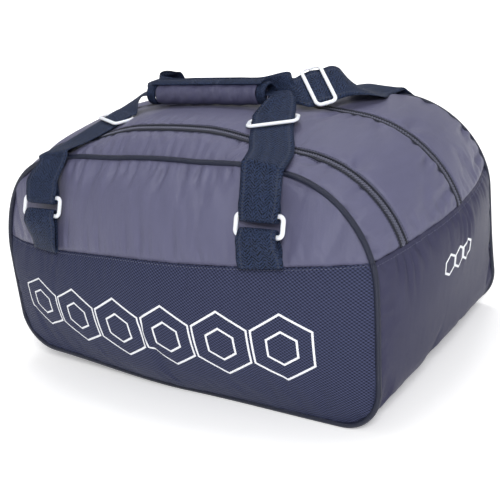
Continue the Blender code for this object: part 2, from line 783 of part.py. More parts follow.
def make_sliders():
    body = two_sided([(0.007, 0.0026), (0.003, 0.0046), (-0.005, 0.0046), (-0.007, 0.003)])
    body_levels = ((0, 1), (SLIDER_HEIGHT * 0.7, 1), (SLIDER_HEIGHT, 0.8))
    pull = two_sided([(0.0006, 0.0020), (-0.004, 0.0032), (-0.022, 0.0036), (-0.025, 0.0022)])
    pull_levels = ((-PULL_THICKNESS / 2, 1), (PULL_THICKNESS / 2, 1))
    for word, zip_y in (("front", FRONT_ZIP_Y), ("back", BACK_ZIP_Y)):
        base, up, out = slider_frame(zip_y)
        pivot = slider_axis(zip_y)
        tapered_block(f"{word}_zip_slider", base, up, out, body, body_levels, "zip_metal", pivot)
        hinge = pull_axis(zip_y)
        tapered_block(f"{word}_zip_pull", hinge, up, out, pull, pull_levels, "zip_metal", hinge)


def pull_axis(zip_y):
    """Where the pull hangs, just above the middle of the slider."""
    base, _, out = slider_frame(zip_y)
    return tuple(base + out * (SLIDER_HEIGHT + GAP + PULL_THICKNESS / 2))


clear_scene()
make_panels()
make_gussets()
make_zips()
make_piping()
make_base()
make_rings()
make_anchors()
make_straps()
make_adjusters()
make_grip()
make_sliders()
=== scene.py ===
"""Looks of the racket holdall: filled cloth, piping, zips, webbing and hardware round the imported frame.

Lengths are in metres in the frame's coordinates: X along the case, front panel towards -Y, +Z up.
"""

import json
import math

import bpy
import numpy as np
from mathutils import Matrix, Vector


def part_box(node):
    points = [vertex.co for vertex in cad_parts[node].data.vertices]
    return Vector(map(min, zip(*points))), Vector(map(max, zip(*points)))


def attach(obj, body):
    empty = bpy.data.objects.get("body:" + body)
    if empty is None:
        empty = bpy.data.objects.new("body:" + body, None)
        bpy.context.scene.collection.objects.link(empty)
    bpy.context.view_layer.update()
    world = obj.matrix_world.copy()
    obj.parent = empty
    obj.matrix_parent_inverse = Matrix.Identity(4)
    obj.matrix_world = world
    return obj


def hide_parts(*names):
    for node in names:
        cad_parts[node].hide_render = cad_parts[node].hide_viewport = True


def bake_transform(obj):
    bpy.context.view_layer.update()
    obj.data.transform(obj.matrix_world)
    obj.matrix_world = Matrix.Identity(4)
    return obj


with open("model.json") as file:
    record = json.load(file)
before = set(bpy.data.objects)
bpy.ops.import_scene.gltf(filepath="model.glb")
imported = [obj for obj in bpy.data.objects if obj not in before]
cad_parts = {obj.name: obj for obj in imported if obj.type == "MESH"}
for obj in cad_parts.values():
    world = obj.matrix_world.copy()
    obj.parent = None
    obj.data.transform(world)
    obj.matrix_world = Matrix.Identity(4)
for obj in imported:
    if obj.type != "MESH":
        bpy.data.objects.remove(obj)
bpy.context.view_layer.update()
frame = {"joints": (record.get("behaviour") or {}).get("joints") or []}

JOINTS = {joint["name"]: joint for joint in frame["joints"]}


def joint_place(name):
    return np.array(JOINTS[name]["pos_m"], float)


def middle_of(node):
    low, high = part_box(node)
    return (np.array(low) + np.array(high)) / 2


# ---------------- driving sizes

# The case's outline and fullness, as the solids have them
PIPING_RADIUS = 0.0030
HALF_LENGTH = 0.250
HEIGHT = 0.272
HALF_DEPTH_BASE, HALF_DEPTH_TOP = 0.148, 0.130
CROWN_RADIUS = 0.900
TOP_CORNER = 0.106
BASE_CORNER = 0.045
PANEL_BULGE = 0.054
FULLEST = 0.45 * HEIGHT
SIDE_BULGE, TOP_BULGE = 0.022, 0.015
SEAM_Z = joint_place("front_lid_fold")[2]
GROUND = 0.0032

# Zips, webbing and hardware
FRONT_ZIP_Y = JOINTS["front_slider_travel"]["pos_m"][1]
BACK_ZIP_Y = JOINTS["back_slider_travel"]["pos_m"][1]
BAND_MIDDLE = (FRONT_ZIP_Y + BACK_ZIP_Y) / 2
ZIP_HALF = 0.0042
WEB = 0.0016
WEB_HALF = 0.0240
STRAP_X, _, RING_Z = middle_of("right_front_ring")
RING_BAR = 0.0024
BAR_TO_WEB = RING_BAR + 0.0007 + WEB / 2  # from a bar's middle to that of the webbing round it
RING_HALF = 0.0272
SLIDE_HALF = 0.0255
THREADED_HALF = 0.0226  # half width of the webbing inside a ring or slide
TAIL_HALF = 0.0210  # half width of the leg behind, which stays out of sight
FOLD_BULGE = 0.0028  # how far the stiff folds stand off the ring's bars
RING_RISE = 0.020
GRIP_LOW, GRIP_HIGH = (np.array(corner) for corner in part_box("grip_sleeve"))
GRIP_MIDDLE = (GRIP_LOW + GRIP_HIGH) / 2
GRIP_RADIUS = (GRIP_HIGH[2] - GRIP_LOW[2]) / 2
GRIP_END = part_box("right_grip_band")[1][0]
TAPE_LIMITS, TAPE_SINK = (0.0002, 0.0060), 0.0012  # from the zip's middle, and below the cloth
COIL_PITCH, COIL_STEPS, COIL_WIRE = 0.0026, 6, 0.00052
ROLLED_EDGE = 0.0012  # radius of the cloth's folded edge beside a zip
DIVIDER_GAP = 0.010
FLAP_HALF, FLAP_ANGLES = 0.0755, (72, 121)
DIP_DEPTH, DIP_WIDTH = 0.0012, 0.0035  # how the cloth draws in at the colour seam
DENT_DEPTH = 0.0038  # behind a strap ring
UPPER_END_SHARE, LOWER_END_SHARE = 0.125, 0.195  # of the outline, for a panel grid's short sides

SIDE_X = HALF_LENGTH - TOP_CORNER
CROWN_Z = HEIGHT - CROWN_RADIUS
CORNER_Z = CROWN_Z + math.sqrt((CROWN_RADIUS - TOP_CORNER) ** 2 - SIDE_X**2)
CROWN_ANGLE = math.acos(SIDE_X / (CROWN_RADIUS - TOP_CORNER))
CROWN_X = SIDE_X + TOP_CORNER * math.cos(CROWN_ANGLE)
SEAM_ANGLE = math.asin((SEAM_Z - CORNER_Z) / TOP_CORNER)
SEAM_HALF = SIDE_X + TOP_CORNER * math.cos(SEAM_ANGLE)
BASE_HALF = HALF_LENGTH - BASE_CORNER
CORNER_MIDDLE = GROUND + BASE_CORNER

# How far the soft case has slumped
REAR_DRAWN_IN, RIGHT_DRAWN_IN, BELLY_IN = 0.0021, 0.0060, 0.0031
LEFT_BACK, RIGHT_FORWARD = 0.0017, 0.0070
LEFT_LIFT, LEFT_SAG = 0.0175, 0.0130
DOME, DOME_FOOT = 0.0090, 0.0095

CELL = 0.0045  # spacing of the cloth grids
SEED = 11
SIDES = (("front", -1), ("back", 1))
HANDS = (("left", -1), ("right", 1))
X_AXIS = np.array([1.0, 0, 0])
OFF_AXIS = (0.31, 0.89, 0.33)  # along none of the paths that are swept
FIRST_COLUMNS, LAST_COLUMNS = (0, 2), (-1, -3)  # a strip's outermost column and one further in

# A stitch's arch (share of its length, rise) and its section (aside, up), in thread radii
STITCH_ARCH = ((-0.5, -0.8), (-0.3, 0.6), (0.3, 0.6), (0.5, -0.8))
STITCH_SECTION = ((-1, -0.6), (1, -0.6), (0.6, 0.9), (-0.6, 0.9))
SEAM_STITCH = {"pitch": 0.0036, "length": 0.0020, "radius": 0.0002, "lift": 0.0001}

# Each part's pressure, slack, and how far it may move out and in
FILLING = {"upper": (1.2, 0.030, 0.0035, 0.0035), "lower": (1.5, 0.012, 0.0030, 0.0020),
           "gusset": (0.8, 0.025, 0.0030, 0.0040), "end": (0.9, 0.022, 0.0035, 0.0035)}
SLIDE_LIMIT = 0.002  # how far cloth may slide within its surface
CLOTH_FRAMES = 22
CLOTH_SETTINGS = {"vertex_group_mass": "sewn", "quality": 6, "mass": 0.12, "tension_stiffness": 12,
                  "compression_stiffness": 6, "shear_stiffness": 4, "bending_stiffness": 0.35,
                  "air_damping": 3, "use_pressure": True}


# ---------------- surfaces


def unit(vector):
    vector = np.asarray(vector, float)
    return vector / np.maximum(np.linalg.norm(vector, axis=-1, keepdims=True), 1e-12)


def ease(share):
    share = np.clip(share, 0, 1)
    return share * share * (3 - 2 * share)


def half_depth(z):
    return HALF_DEPTH_BASE + (HALF_DEPTH_TOP - HALF_DEPTH_BASE) * z / HEIGHT


def top_height(x):
    """Height of the arched outline over a point of the base."""
    x = np.abs(x)
    crown = CROWN_Z + np.sqrt(CROWN_RADIUS**2 - np.minimum(x, CROWN_X) ** 2)
    corner = CORNER_Z + np.sqrt(np.maximum(TOP_CORNER**2 - (x - SIDE_X) ** 2, 0))
    return np.where(x <= CROWN_X, crown, corner)


def base_height(x):
    """Height of the outline's lower edge."""
    beyond = np.maximum(np.abs(x) - BASE_HALF, 0)
    return CORNER_MIDDLE - np.sqrt(np.maximum(BASE_CORNER**2 - beyond**2, 0))


def half_width(z):
    """Half the outline's width at a height."""
    z = np.asarray(z, float)
    low = BASE_HALF + np.sqrt(np.maximum(BASE_CORNER**2 - np.maximum(CORNER_MIDDLE - z, 0) ** 2, 0))
    high = SIDE_X + np.sqrt(np.maximum(TOP_CORNER**2 - np.maximum(z - CORNER_Z, 0) ** 2, 0))
    crown = np.sqrt(np.maximum(CROWN_RADIUS**2 - (z - CROWN_Z) ** 2, 0))
    corner_top = CORNER_Z + TOP_CORNER * math.sin(CROWN_ANGLE)
    return np.where(z < CORNER_MIDDLE, low, np.where(z <= corner_top, high, crown))


def panel_depth(x, z):
    """Distance of the filled front or rear panel from the plane Y = 0."""
    x, z = np.asarray(x, float), np.asarray(z, float)
    across = np.maximum(1 - (x / np.maximum(half_width(z), 1e-6)) ** 2, 0) ** 0.85
    room = np.where(z >= FULLEST, top_height(x) - FULLEST, FULLEST - base_height(x))
    rise = np.maximum(1 - ((z - FULLEST) / room) ** 2, 0) ** 0.8
    return half_depth(z) + PANEL_BULGE * across * rise


def gusset(edge, y, lift=0.0):
    """Points of the gusset beside outline points (x, z, normal x, normal z)."""
    x, z, nx, nz = edge[..., 0], edge[..., 1], edge[..., 2], edge[..., 3]
    bulge = (1 - (y / half_depth(z)) ** 2) * ease(z / (0.6 * HEIGHT))
    out_x = x + nx * (SIDE_BULGE * bulge + lift)
    out_z = z + nz * (TOP_BULGE * bulge + lift)
    return np.stack([out_x, y + 0 * out_x, out_z], -1)


def top_surface(x, y):
    """Height of the gusset over a point of the top."""
    return float(top_height(x)) + TOP_BULGE * (1 - (y / half_depth(HEIGHT)) ** 2)


def hump(value, middle, width):
    return np.exp(-(((value - middle) / width) ** 2))


def slump(points):
    """How the soft case sits: its left base corner lifts, its right one draws in, its top domes."""
    x, y, z = points[..., 0], points[..., 1], points[..., 2]
    left, right = ease(-x / HALF_LENGTH), ease(x / HALF_LENGTH)
    low = ease(1 - z / SEAM_Z)
    front, rear = ease((0.05 - y) / 0.20), ease((y + 0.02) / 0.168)
    seam, belly = hump(z, SEAM_Z, 0.05), hump(z, 0.10, 0.08)
    dx = -REAR_DRAWN_IN * x / HALF_LENGTH * rear
    dx = dx - RIGHT_DRAWN_IN * right * low - BELLY_IN * right * belly * rear
    dy = LEFT_BACK * left * low - RIGHT_FORWARD * right * low
    between = ease((z - SEAM_Z) / 0.08) * ease((0.135 - np.abs(x)) / 0.09)
    domed = DOME * hump(y, -0.080, 0.045) - DOME_FOOT * hump(y, -0.135, 0.018)
    dz = LEFT_LIFT * left * low * front - LEFT_SAG * left * seam + between * domed
    return points + np.stack([dx, dy, dz], -1)


def arc(centre_x, centre_z, radius, start, end, count=60):
    angle = np.linspace(start, end, count)
    c, s = np.cos(angle), np.sin(angle)
    return np.stack([centre_x + radius * c, centre_z + radius * s, c, s], 1)


def mirrored(edge):
    return (edge * np.array([-1, 1, -1, 1]))[::-1]


def upper_outline():
    """The outline above the seam, from the left end over the top to the right end."""
    corner = arc(SIDE_X, CORNER_Z, TOP_CORNER, SEAM_ANGLE, CROWN_ANGLE)
    crown = arc(0, CROWN_Z, CROWN_RADIUS, CROWN_ANGLE, math.pi - CROWN_ANGLE)
    return np.concatenate([mirrored(corner)[::-1], crown[::-1][1:-1], corner[::-1]])


def end_outline():
    """The outline of the right end, from the base corner up to the seam."""
    low = arc(BASE_HALF, CORNER_MIDDLE, BASE_CORNER, -math.pi / 2, 0)
    straight = np.linspace([HALF_LENGTH, CORNER_MIDDLE, 1, 0], [HALF_LENGTH, CORNER_Z, 1, 0], 30)
    high = arc(SIDE_X, CORNER_Z, TOP_CORNER, 0, SEAM_ANGLE, 20)
    return np.concatenate([low, straight[1:-1], high])


def base_outline():
    """The outline below the seam, from the left end down and round to the right end."""
    right = end_outline()
    return np.concatenate([mirrored(right), right])


def lengths(points):
    """Distance along a polyline at each of its points."""
    step = np.linalg.norm(np.diff(points, axis=0), axis=1)
    return np.concatenate([[0], np.cumsum(step)])


def resample(points, count, measure=None):
    """The same polyline at evenly spaced points."""
    run = lengths(points if measure is None else measure)
    run, kept = np.unique(run, return_index=True)
    points = points[kept]
    target = np.linspace(0, run[-1], count)
    return np.stack([np.interp(target, run, points[:, k]) for k in range(points.shape[1])], 1)


def even_outline(edge, count):
    return resample(edge, count, edge[:, :2])


# ---------------- meshes


def add_mesh(name, points, faces, finish, uv=None, smooth=True):
    """A mesh object with its own material and, for cloth, a UV map measured in metres."""
    mesh = bpy.data.meshes.new(name)
    faces = [tuple(map(int, face)) for face in faces]
    mesh.from_pydata(np.asarray(points, float).reshape(-1, 3).tolist(), [], faces)
    if uv is not None:
        layer = mesh.uv_layers.new(name="metres")
        corner = np.zeros(len(mesh.loops), np.int32)
        mesh.loops.foreach_get("vertex_index", corner)
        layer.data.foreach_set("uv", np.asarray(uv, float).reshape(-1, 2)[corner].ravel())
    if smooth:
        mesh.shade_smooth()
    mesh.materials.append(finish)
    made = bpy.data.objects.new(name, mesh)
    bpy.context.scene.collection.objects.link(made)
    return made


def grid_faces(rows, columns, wrap=False):
    i, j = np.meshgrid(np.arange(rows - 1), np.arange(columns if wrap else columns - 1), indexing="ij")
    k = (j + 1) % columns
    quads = [i * columns + j, (i + 1) * columns + j, (i + 1) * columns + k, i * columns + k]
    return np.stack([q.ravel() for q in quads], 1)


def grid_normals(points):
    normal = np.cross(np.gradient(points, axis=0), np.gradient(points, axis=1))
    return unit(normal)


def outward(points):
    """The grid's unit normals, turned away from the middle of the case."""
    normal = grid_normals(points)
    if np.sum(normal * (points - np.array([0, 0, HEIGHT / 2]))) < 0:
        return -normal, True
    return normal, False


def add_modifier(piece, kind, **settings):
    made = piece.modifiers.new(kind.lower(), kind)
    for key, value in settings.items():
        setattr(made, key, value)
    return made


def cloth_sheet(name, points, finish, uv, thickness=0.0014, smooth_level=0):
    """A sewn panel: the grid faces outward, is thickened inward and can be subdivided."""
    faces = grid_faces(*points.shape[:2])
    if outward(points)[1]:
        faces = faces[:, ::-1]
    piece = add_mesh(name, points, faces, finish, uv)
    if smooth_level:
        add_modifier(piece, "SUBSURF", levels=smooth_level, render_levels=smooth_level,
                     boundary_smooth="PRESERVE_CORNERS")
    add_modifier(piece, "SOLIDIFY", thickness=thickness, offset=-1.0)
    return piece


def fold_with_lid(piece):
    """Bakes a piece's placement into its mesh; the piece is not made to follow the lid."""
    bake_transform(piece)


def settle(piece, body, node=None):
    """Puts a piece on its body, hiding the part it replaces; a piece for a lid only has its placement baked
    in.
    """
    if node:
        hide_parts(node)
    if body.endswith("_lid"):
        fold_with_lid(piece)
    else:
        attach(piece, body)


def frames_along(path, closed=False):
    """Tangent, side and up vectors along a path, carried on without twist."""
    ahead, behind = np.roll(path, -1, 0), np.roll(path, 1, 0)
    run = unit(ahead - behind if closed else np.gradient(path, axis=0))
    side = np.cross(run[0], OFF_AXIS)
    sides = []
    for along in run:
        side = unit(side - along * np.dot(side, along))
        sides.append(side)
    sides = np.array(sides)
    return run, sides, np.cross(run, sides)


def tube_faces(rows, sides, closed=False):
    """Faces of a run of rings, joined end to end when closed and capped when not."""
    last = (rows - 1) * sides
    if closed:
        ends = [(last + j, j, (j + 1) % sides, last + (j + 1) % sides) for j in range(sides)]
    else:
        ends = [tuple(range(sides)), tuple(range(last, last + sides))[::-1]]
    return list(grid_faces(rows, sides, True)) + ends


def tube(name, path, radius, finish, sides=8, closed=False, flat=1.0, up=None):
    """A round or oval bar along a path; flat scales it across the up direction."""
    path = np.asarray(path, float)
    run, side, rise = frames_along(path, closed)
    if up is not None:
        rise = unit(up - run * np.sum(run * up, 1, keepdims=True))
        side = np.cross(rise, run)
    angle = np.arange(sides) * 2 * math.pi / sides
    c, s = np.cos(angle)[None, :, None], np.sin(angle)[None, :, None]
    points = path[:, None] + radius * (c * side[:, None] + flat * s * rise[:, None])
    v = lengths(path)[:, None] + 0 * angle
    uv = np.stack([angle * radius + 0 * v, v], -1)
    piece = add_mesh(name, points, tube_faces(len(path), sides, closed), finish, uv)
    recalculate(piece)
    return piece


def recalculate(piece):
    """Turns every face of a closed mesh outward."""
    mesh = piece.data
    points = np.array([v.co for v in mesh.vertices])
    volume = 0.0
    for polygon in mesh.polygons:
        a = points[polygon.vertices[0]]
        for k in range(1, len(polygon.vertices) - 1):
            volume += np.dot(a, np.cross(points[polygon.vertices[k]], points[polygon.vertices[k + 1]]))
    if volume < 0:
        mesh.flip_normals()


def spline(stations, step=0.003):
    """Catmull-Rom curve through rows of numbers, whose first three are a place."""
    stations = np.asarray(stations, float)
    ends = np.concatenate([[2 * stations[0] - stations[1]], stations, [2 * stations[-1] - stations[-2]]])
    rows = []
    for k in range(1, len(ends) - 2):
        p0, p1, p2, p3 = ends[k - 1 : k + 3]
        gap = np.linalg.norm(p2[:3] - p1[:3])
        for t in np.arange(0, 1, 1 / max(2, math.ceil(gap / step))):
            rows.append(
                0.5 * (2 * p1 + (p2 - p0) * t + (2 * p0 - 5 * p1 + 4 * p2 - p3) * t**2
                       + (3 * p1 - p0 - 3 * p2 + p3) * t**3)
            )
    rows.append(stations[-1])
    return np.array(rows)


def webbing(name, stations, step, thickness=WEB, columns=9):
    """A strap through stations of (place, face normal, direction across, half width)."""
    rows = spline([np.concatenate([c, unit(n), unit(a), [w]]) for c, n, a, w in stations], step)
    centre, normal, across, half = rows[:, :3], unit(rows[:, 3:6]), rows[:, 6:9], rows[:, 9]
    across = unit(across - normal * np.sum(across * normal, 1, keepdims=True))
    even = np.linspace(-1, 1, columns)
    share = np.sin(even * math.pi / 2) * 0.4 + 0.6 * even
    top, under = [], []
    for s in share:
        rounded = math.sqrt(max(1 - s**8, 0.04))
        place = centre + across * (half * s)[:, None]
        top.append(place + normal * thickness / 2 * rounded)
        under.append(place - normal * thickness / 2 * rounded)
    section = np.stack(top + under[::-1], 1)
    u = np.concatenate([share, share[::-1]]) * float(np.median(half))
    v = lengths(centre)[:, None] + 0 * u
    faces = tube_faces(len(rows), 2 * columns)
    piece = add_mesh(name, section, faces, WEBBING, np.stack([u + 0 * v, v], -1))
    recalculate(piece)
    return piece


def stitches(name, path, normal, finish, pitch=0.0032, length=0.0022, radius=0.00028, lift=0.0003):
    """A row of thread stitches lying on a surface along a path."""
    run = lengths(path)
    count = max(2, int(run[-1] / pitch))
    middles = (np.arange(count) + 0.5) * run[-1] / count

    def at(distance, rows):
        return np.stack([np.interp(distance, run, rows[:, k]) for k in range(3)], 1)

    here = at(middles, path)
    along = unit(at(middles + pitch / 4, path) - at(middles - pitch / 4, path))
    up = unit(at(middles, normal))
    side = np.cross(along, up)
    points, faces = [], []
    for k in range(count):
        faces += [[len(points) + corner for corner in face] for face in tube_faces(4, 4)]
        for share, rise in STITCH_ARCH:
            centre = here[k] + along[k] * share * length + up[k] * (lift + rise * radius)
            for su, sr in STITCH_SECTION:
                points.append(centre + side[k] * su * radius + up[k] * sr * radius)
    piece = add_mesh(name, points, faces, finish)
    recalculate(piece)
    return piece


def seam_stitches(name, points, row):
    """Light thread beside the colour seam, along one row of a panel's grid."""
    normal = outward(points)[0]
    thread = stitches(name, points[row], normal[row], THREAD_LIGHT, **SEAM_STITCH)
    settle(thread, "case")


# ---------------- materials


def socket_name(key):
    """A keyword as the name of a node's input."""
    return key.replace("_", " ").title().replace("Ior", "IOR")


class Shader:
    """Short calls for building one node material, new or already begun."""

    def __init__(self, name, material=None):
        self.material = material or bpy.data.materials.new(name)
        self.material.use_nodes = True
        self.tree = self.material.node_tree
        self.principled = self.tree.nodes["Principled BSDF"]

    def put(self, socket, value):
        if hasattr(value, "links"):
            self.tree.links.new(value, socket)
        elif isinstance(value, (tuple, list)) and len(value) == 3 and socket.type == "RGBA":
            socket.default_value = (*value, 1.0)
        else:
            socket.default_value = value

    def node(self, kind, inputs=None, **settings):
        made = self.tree.nodes.new(kind)
        for key, value in settings.items():
            setattr(made, key, value)
        for key, value in (inputs or {}).items():
            self.put(made.inputs[key], value)
        return made

    def math(self, operation, a, b=0.0, c=0.0):
        return self.node("ShaderNodeMath", {0: a, 1: b, 2: c}, operation=operation).outputs[0]

    def mix(self, share, a, b):
        """A colour between two colours, which are the Mix node's sixth and seventh inputs."""
        inputs = {"Factor": share, 6: a, 7: b}
        return self.node("ShaderNodeMix", inputs, data_type="RGBA").outputs[2]

    def uv(self):
        """The two cloth coordinates, in metres."""
        place = self.node("ShaderNodeUVMap", uv_map="metres").outputs[0]
        parts = self.node("ShaderNodeSeparateXYZ", {0: place})
        return parts.outputs[0], parts.outputs[1]

    def noise(self, scale, detail=3.0, vector=None, roughness=0.55):
        if vector is None:
            vector = self.node("ShaderNodeTexCoord").outputs["Object"]
        inputs = {"Vector": vector, "Scale": scale, "Detail": detail, "Roughness": roughness}
        return self.node("ShaderNodeTexNoise", inputs).outputs[0]

    def wave(self, coordinate, pitch):
        """A sine of a coordinate with this pitch, from 0 to 1."""
        turned = self.math("MULTIPLY", coordinate, 2 * math.pi / pitch)
        return self.math("MULTIPLY_ADD", self.math("SINE", turned), 0.5, 0.5)

    def levels(self, value, low, high, **more):
        """A value from 0 to 1 spread between two levels."""
        inputs = {"Value": value, "To Min": low, "To Max": high}
        inputs.update({socket_name(key): limit for key, limit in more.items()})
        return self.node("ShaderNodeMapRange", inputs).outputs[0]

    def bump(self, height, distance, strength=1.0, under=None):
        inputs = {"Height": height, "Distance": distance, "Strength": strength}
        if under is not None:
            inputs["Normal"] = under
        return self.node("ShaderNodeBump", inputs).outputs[0]

    def finish(self, colour, roughness, normal=None, **more):
        more.update(base_color=colour, roughness=roughness)
        if normal is not None:
            more["normal"] = normal
        for key, value in more.items():
            self.put(self.principled.inputs[socket_name(key)], value)
        return self.material


def shade(colour, factor):
    return tuple(min(c * factor, 1.0) for c in colour)


def plain_weave(shader, pitch):
    """Threads over and under each other, as a height from 0 to 1."""
    u, v = shader.uv()
    along, across = shader.wave(u, pitch), shader.wave(v, pitch)
    crossed = shader.math("MULTIPLY", along, across)
    other = shader.math("MULTIPLY", shader.math("SUBTRACT", 1, along), shader.math("SUBTRACT", 1, across))
    return shader.math("ADD", crossed, other)


def dobby_weave(shader, pitch):
    """Small diagonal lozenges, as a height from 0 to 1."""
    u, v = shader.uv()
    down = shader.wave(shader.math("ADD", u, v), pitch)
    up = shader.wave(shader.math("SUBTRACT", u, shader.math("MULTIPLY", v, 1.7)), pitch * 1.5)
    return shader.math("MULTIPLY_ADD", up, 0.45, shader.math("MULTIPLY", down, 0.55))


def herringbone(shader, column, pitch):
    """Twill that turns back at each column, as a height from 0 to 1."""
    u, v = shader.uv()
    folded = shader.math("PINGPONG", u, column)
    return shader.wave(shader.math("ADD", v, folded), pitch)


def nylon(name, colour, pitch, relief, roughness, weave=plain_weave, sheen=0.02, mottle=0.05,
          contrast=0.10, crinkled=0.5, gloss=0.35):
    """Woven nylon: threads in colour and relief, soft creases with a painted highlight along them, and a
    roughness that varies.
    """
    shader = Shader(name)
    height = weave(shader, pitch)
    blotch = shader.noise(14.0, 4.0)
    grain = shader.noise(900.0, 2.0)
    thread = shader.mix(height, shade(colour, 1 - contrast), shade(colour, 1 + contrast))
    worn = shader.mix(shader.levels(blotch, 0, mottle * 2), thread, shade(colour, 1.35))
    fleck = shader.mix(shader.levels(grain, -0.12, 0.30), worn, shade(colour, 0.72))
    u, v = shader.uv()
    narrow = shader.math("MULTIPLY", u, 4.0)
    stretched = shader.node("ShaderNodeCombineXYZ", {0: narrow, 1: v}).outputs[0]
    crinkle = shader.noise(24.0, 3.0, stretched, 0.5)
    # Painted highlight: the crinkle noise that bumps the creases also lightens the colour along them,
    # standing in for their sheen.
    crease_highlight = shader.mix(shader.levels(crinkle, -0.4 * crinkled, crinkled), fleck, shade(colour, 1.3))
    folded = shader.bump(crinkle, 0.0022, crinkled)
    creases = shader.bump(shader.noise(34.0, 3.0, roughness=0.45), 0.0016, 0.55, folded)
    fine = shader.bump(height, relief, 0.8, creases)
    rough = shader.levels(blotch, roughness - 0.07, roughness + 0.09)
    return shader.finish(crease_highlight, rough, fine, sheen_weight=sheen, sheen_roughness=0.45,
                         specular_ior_level=gloss)


def navy_cloth(name):
    return nylon(name, (0.034, 0.039, 0.077), 0.0036, 0.0006, 0.55, dobby_weave, sheen=0.0, mottle=0.08,
                 contrast=0.96, crinkled=0.2, gloss=0.06)


def dark_cloth(name):
    return nylon(name, (0.037, 0.037, 0.073), 0.0011, 0.00025, 0.45, sheen=0.0, mottle=0.06, gloss=0.14)


def lining_cloth(name, colour):
    """Plain lining for pieces with no cloth map."""
    shader = Shader(name)
    grain = shader.noise(700.0, 2.0)
    tint = shader.mix(shader.levels(grain, 0.1, 0.9), shade(colour, 0.82), shade(colour, 1.15))
    return shader.finish(tint, 0.85, shader.bump(grain, 0.0004, 0.6), sheen_weight=0.2)


def strap_webbing(name, colour, edge_width=WEB_HALF):
    """Herringbone webbing with a closer selvedge at both edges."""
    shader = Shader(name)
    u, v = shader.uv()
    height = herringbone(shader, 0.0058, 0.0034)
    ribs = shader.wave(v, 0.0013)
    edge = shader.math("GREATER_THAN", shader.math("ABSOLUTE", u), edge_width - 0.0032)
    relief = shader.node("ShaderNodeMix", {"Factor": edge, "A": height, "B": ribs}).outputs[0]
    grain = shader.noise(1200.0, 2.0)
    thread = shader.mix(shader.levels(relief, -0.5, 1.5), shade(colour, 0.25), shade(colour, 2.1))
    # Painted highlight: bright specks from a fine noise stand in for light glinting on the threads.
    fleck = shader.levels(shader.noise(760.0, 0.0), -1.6, 2.2)
    lit = shader.mix(fleck, thread, shade(colour, 3.0))
    line = shader.math("COMPARE", shader.math("ABSOLUTE", u), edge_width * 0.72, 0.0010)
    dots = shader.math("MULTIPLY", line, shader.math("GREATER_THAN", shader.wave(v, 0.0034), 0.4))
    sewn = shader.mix(dots, lit, (0.035, 0.0425, 0.0675))
    worn = shader.mix(shader.levels(grain, -0.3, 0.4), sewn, shade(colour, 0.5))
    soft = shader.bump(shader.noise(60.0, 2.0), 0.0008, 0.4)
    return shader.finish(worn, 0.55, shader.bump(relief, 0.0005, 0.9, soft), specular_ior_level=0.12)


def moulded(name, colour, roughness=0.28):
    """Glossy moulded plastic with faint flow marks and scuffs."""
    shader = Shader(name)
    flow = shader.noise(60.0, 2.0)
    scuff = shader.noise(420.0, 3.0)
    tint = shader.mix(shader.levels(flow, 0, 0.5), colour, shade(colour, 0.90))
    rough = shader.levels(scuff, roughness - 0.08, roughness + 0.14)
    return shader.finish(tint, rough, shader.bump(scuff, 0.0001, 0.35), specular_ior_level=0.5,
                         subsurface_weight=0.05)


def plated(name, colour):
    """Dark plated zinc, rubbed lighter in scattered patches."""
    shader = Shader(name)
    rub = shader.noise(500.0, 3.0)
    tint = shader.mix(shader.levels(rub, -0.1, 0.6), colour, shade(colour, 2.4))
    return shader.finish(tint, shader.levels(rub, 0.28, 0.5), shader.bump(rub, 0.0001, 0.4), metallic=0.85)


def coil_plastic(name, colour):
    """The monofilament of a coil zip."""
    shader = Shader(name)
    grain = shader.noise(800.0, 1.0)
    tint = shader.mix(grain, shade(colour, 0.8), shade(colour, 1.2))
    return shader.finish(tint, 0.42, shader.bump(grain, 0.0001, 0.3), specular_ior_level=0.5)


def ground_finish():
    """A pale floor that glows more with distance, so it fades into the background."""
    shader = Shader("studio_floor")
    cloud = shader.noise(1.5, 2.0)
    tint = shader.mix(shader.levels(cloud, 0, 0.3), (0.95, 0.95, 0.955), (0.93, 0.93, 0.935))
    place = shader.node("ShaderNodeTexCoord").outputs["Object"]
    away = shader.node("ShaderNodeVectorMath", {0: place}, operation="LENGTH").outputs["Value"]
    glow = shader.levels(away, 0.25, 0.75, from_min=0.5, from_max=1.8)
    return shader.finish(tint, 0.8, specular_ior_level=0.1, emission_color=(1.0, 1.0, 1.0),
                         emission_strength=glow)


LIGHT = nylon("cloth_light", (0.090, 0.090, 0.156), 0.0011, 0.00025, 0.36, mottle=0.07)
GRIP_CLOTH = nylon("cloth_grip", (0.056, 0.056, 0.106), 0.0011, 0.00025, 0.30, mottle=0.10, crinkled=0.9)
NAVY = navy_cloth("cloth_navy")
DARK = dark_cloth("cloth_dark")
BASE = nylon("cloth_base", (0.030, 0.032, 0.050), 0.0016, 0.0004, 0.65, sheen=0.1)
PIPING = nylon("cloth_piping", (0.009, 0.012, 0.030), 0.0010, 0.0003, 0.35, sheen=0.0)
# Near-black: the folded edge beside a zip, darkened further as painted shadow of the gap between the cloth
# and the zip.
EDGING_AND_GAP_SHADOW = nylon("zip_edging", (0.006, 0.008, 0.018), 0.0009, 0.0002, 0.50)
TAPE = nylon("zip_tape", (0.070, 0.073, 0.115), 0.0010, 0.0003, 0.55, sheen=0.1, contrast=0.18)
WEBBING = strap_webbing("webbing_navy", (0.0082, 0.0128, 0.029))
THREAD = nylon("thread", (0.030, 0.034, 0.060), 0.0008, 0.0001, 0.55)
THREAD_LIGHT = nylon("thread_light", (0.15, 0.16, 0.23), 0.0008, 0.0001, 0.5)
WHITE = moulded("plastic_white", (0.80, 0.81, 0.86))
COIL = coil_plastic("coil_grey", (0.13, 0.135, 0.19))
METAL = plated("metal_dark", (0.035, 0.036, 0.045))
BOARD = lining_cloth("board_grey", (0.055, 0.055, 0.06))
LINING = lining_cloth("lining_grey", (0.11, 0.112, 0.13))


# ---------------- filled cloth


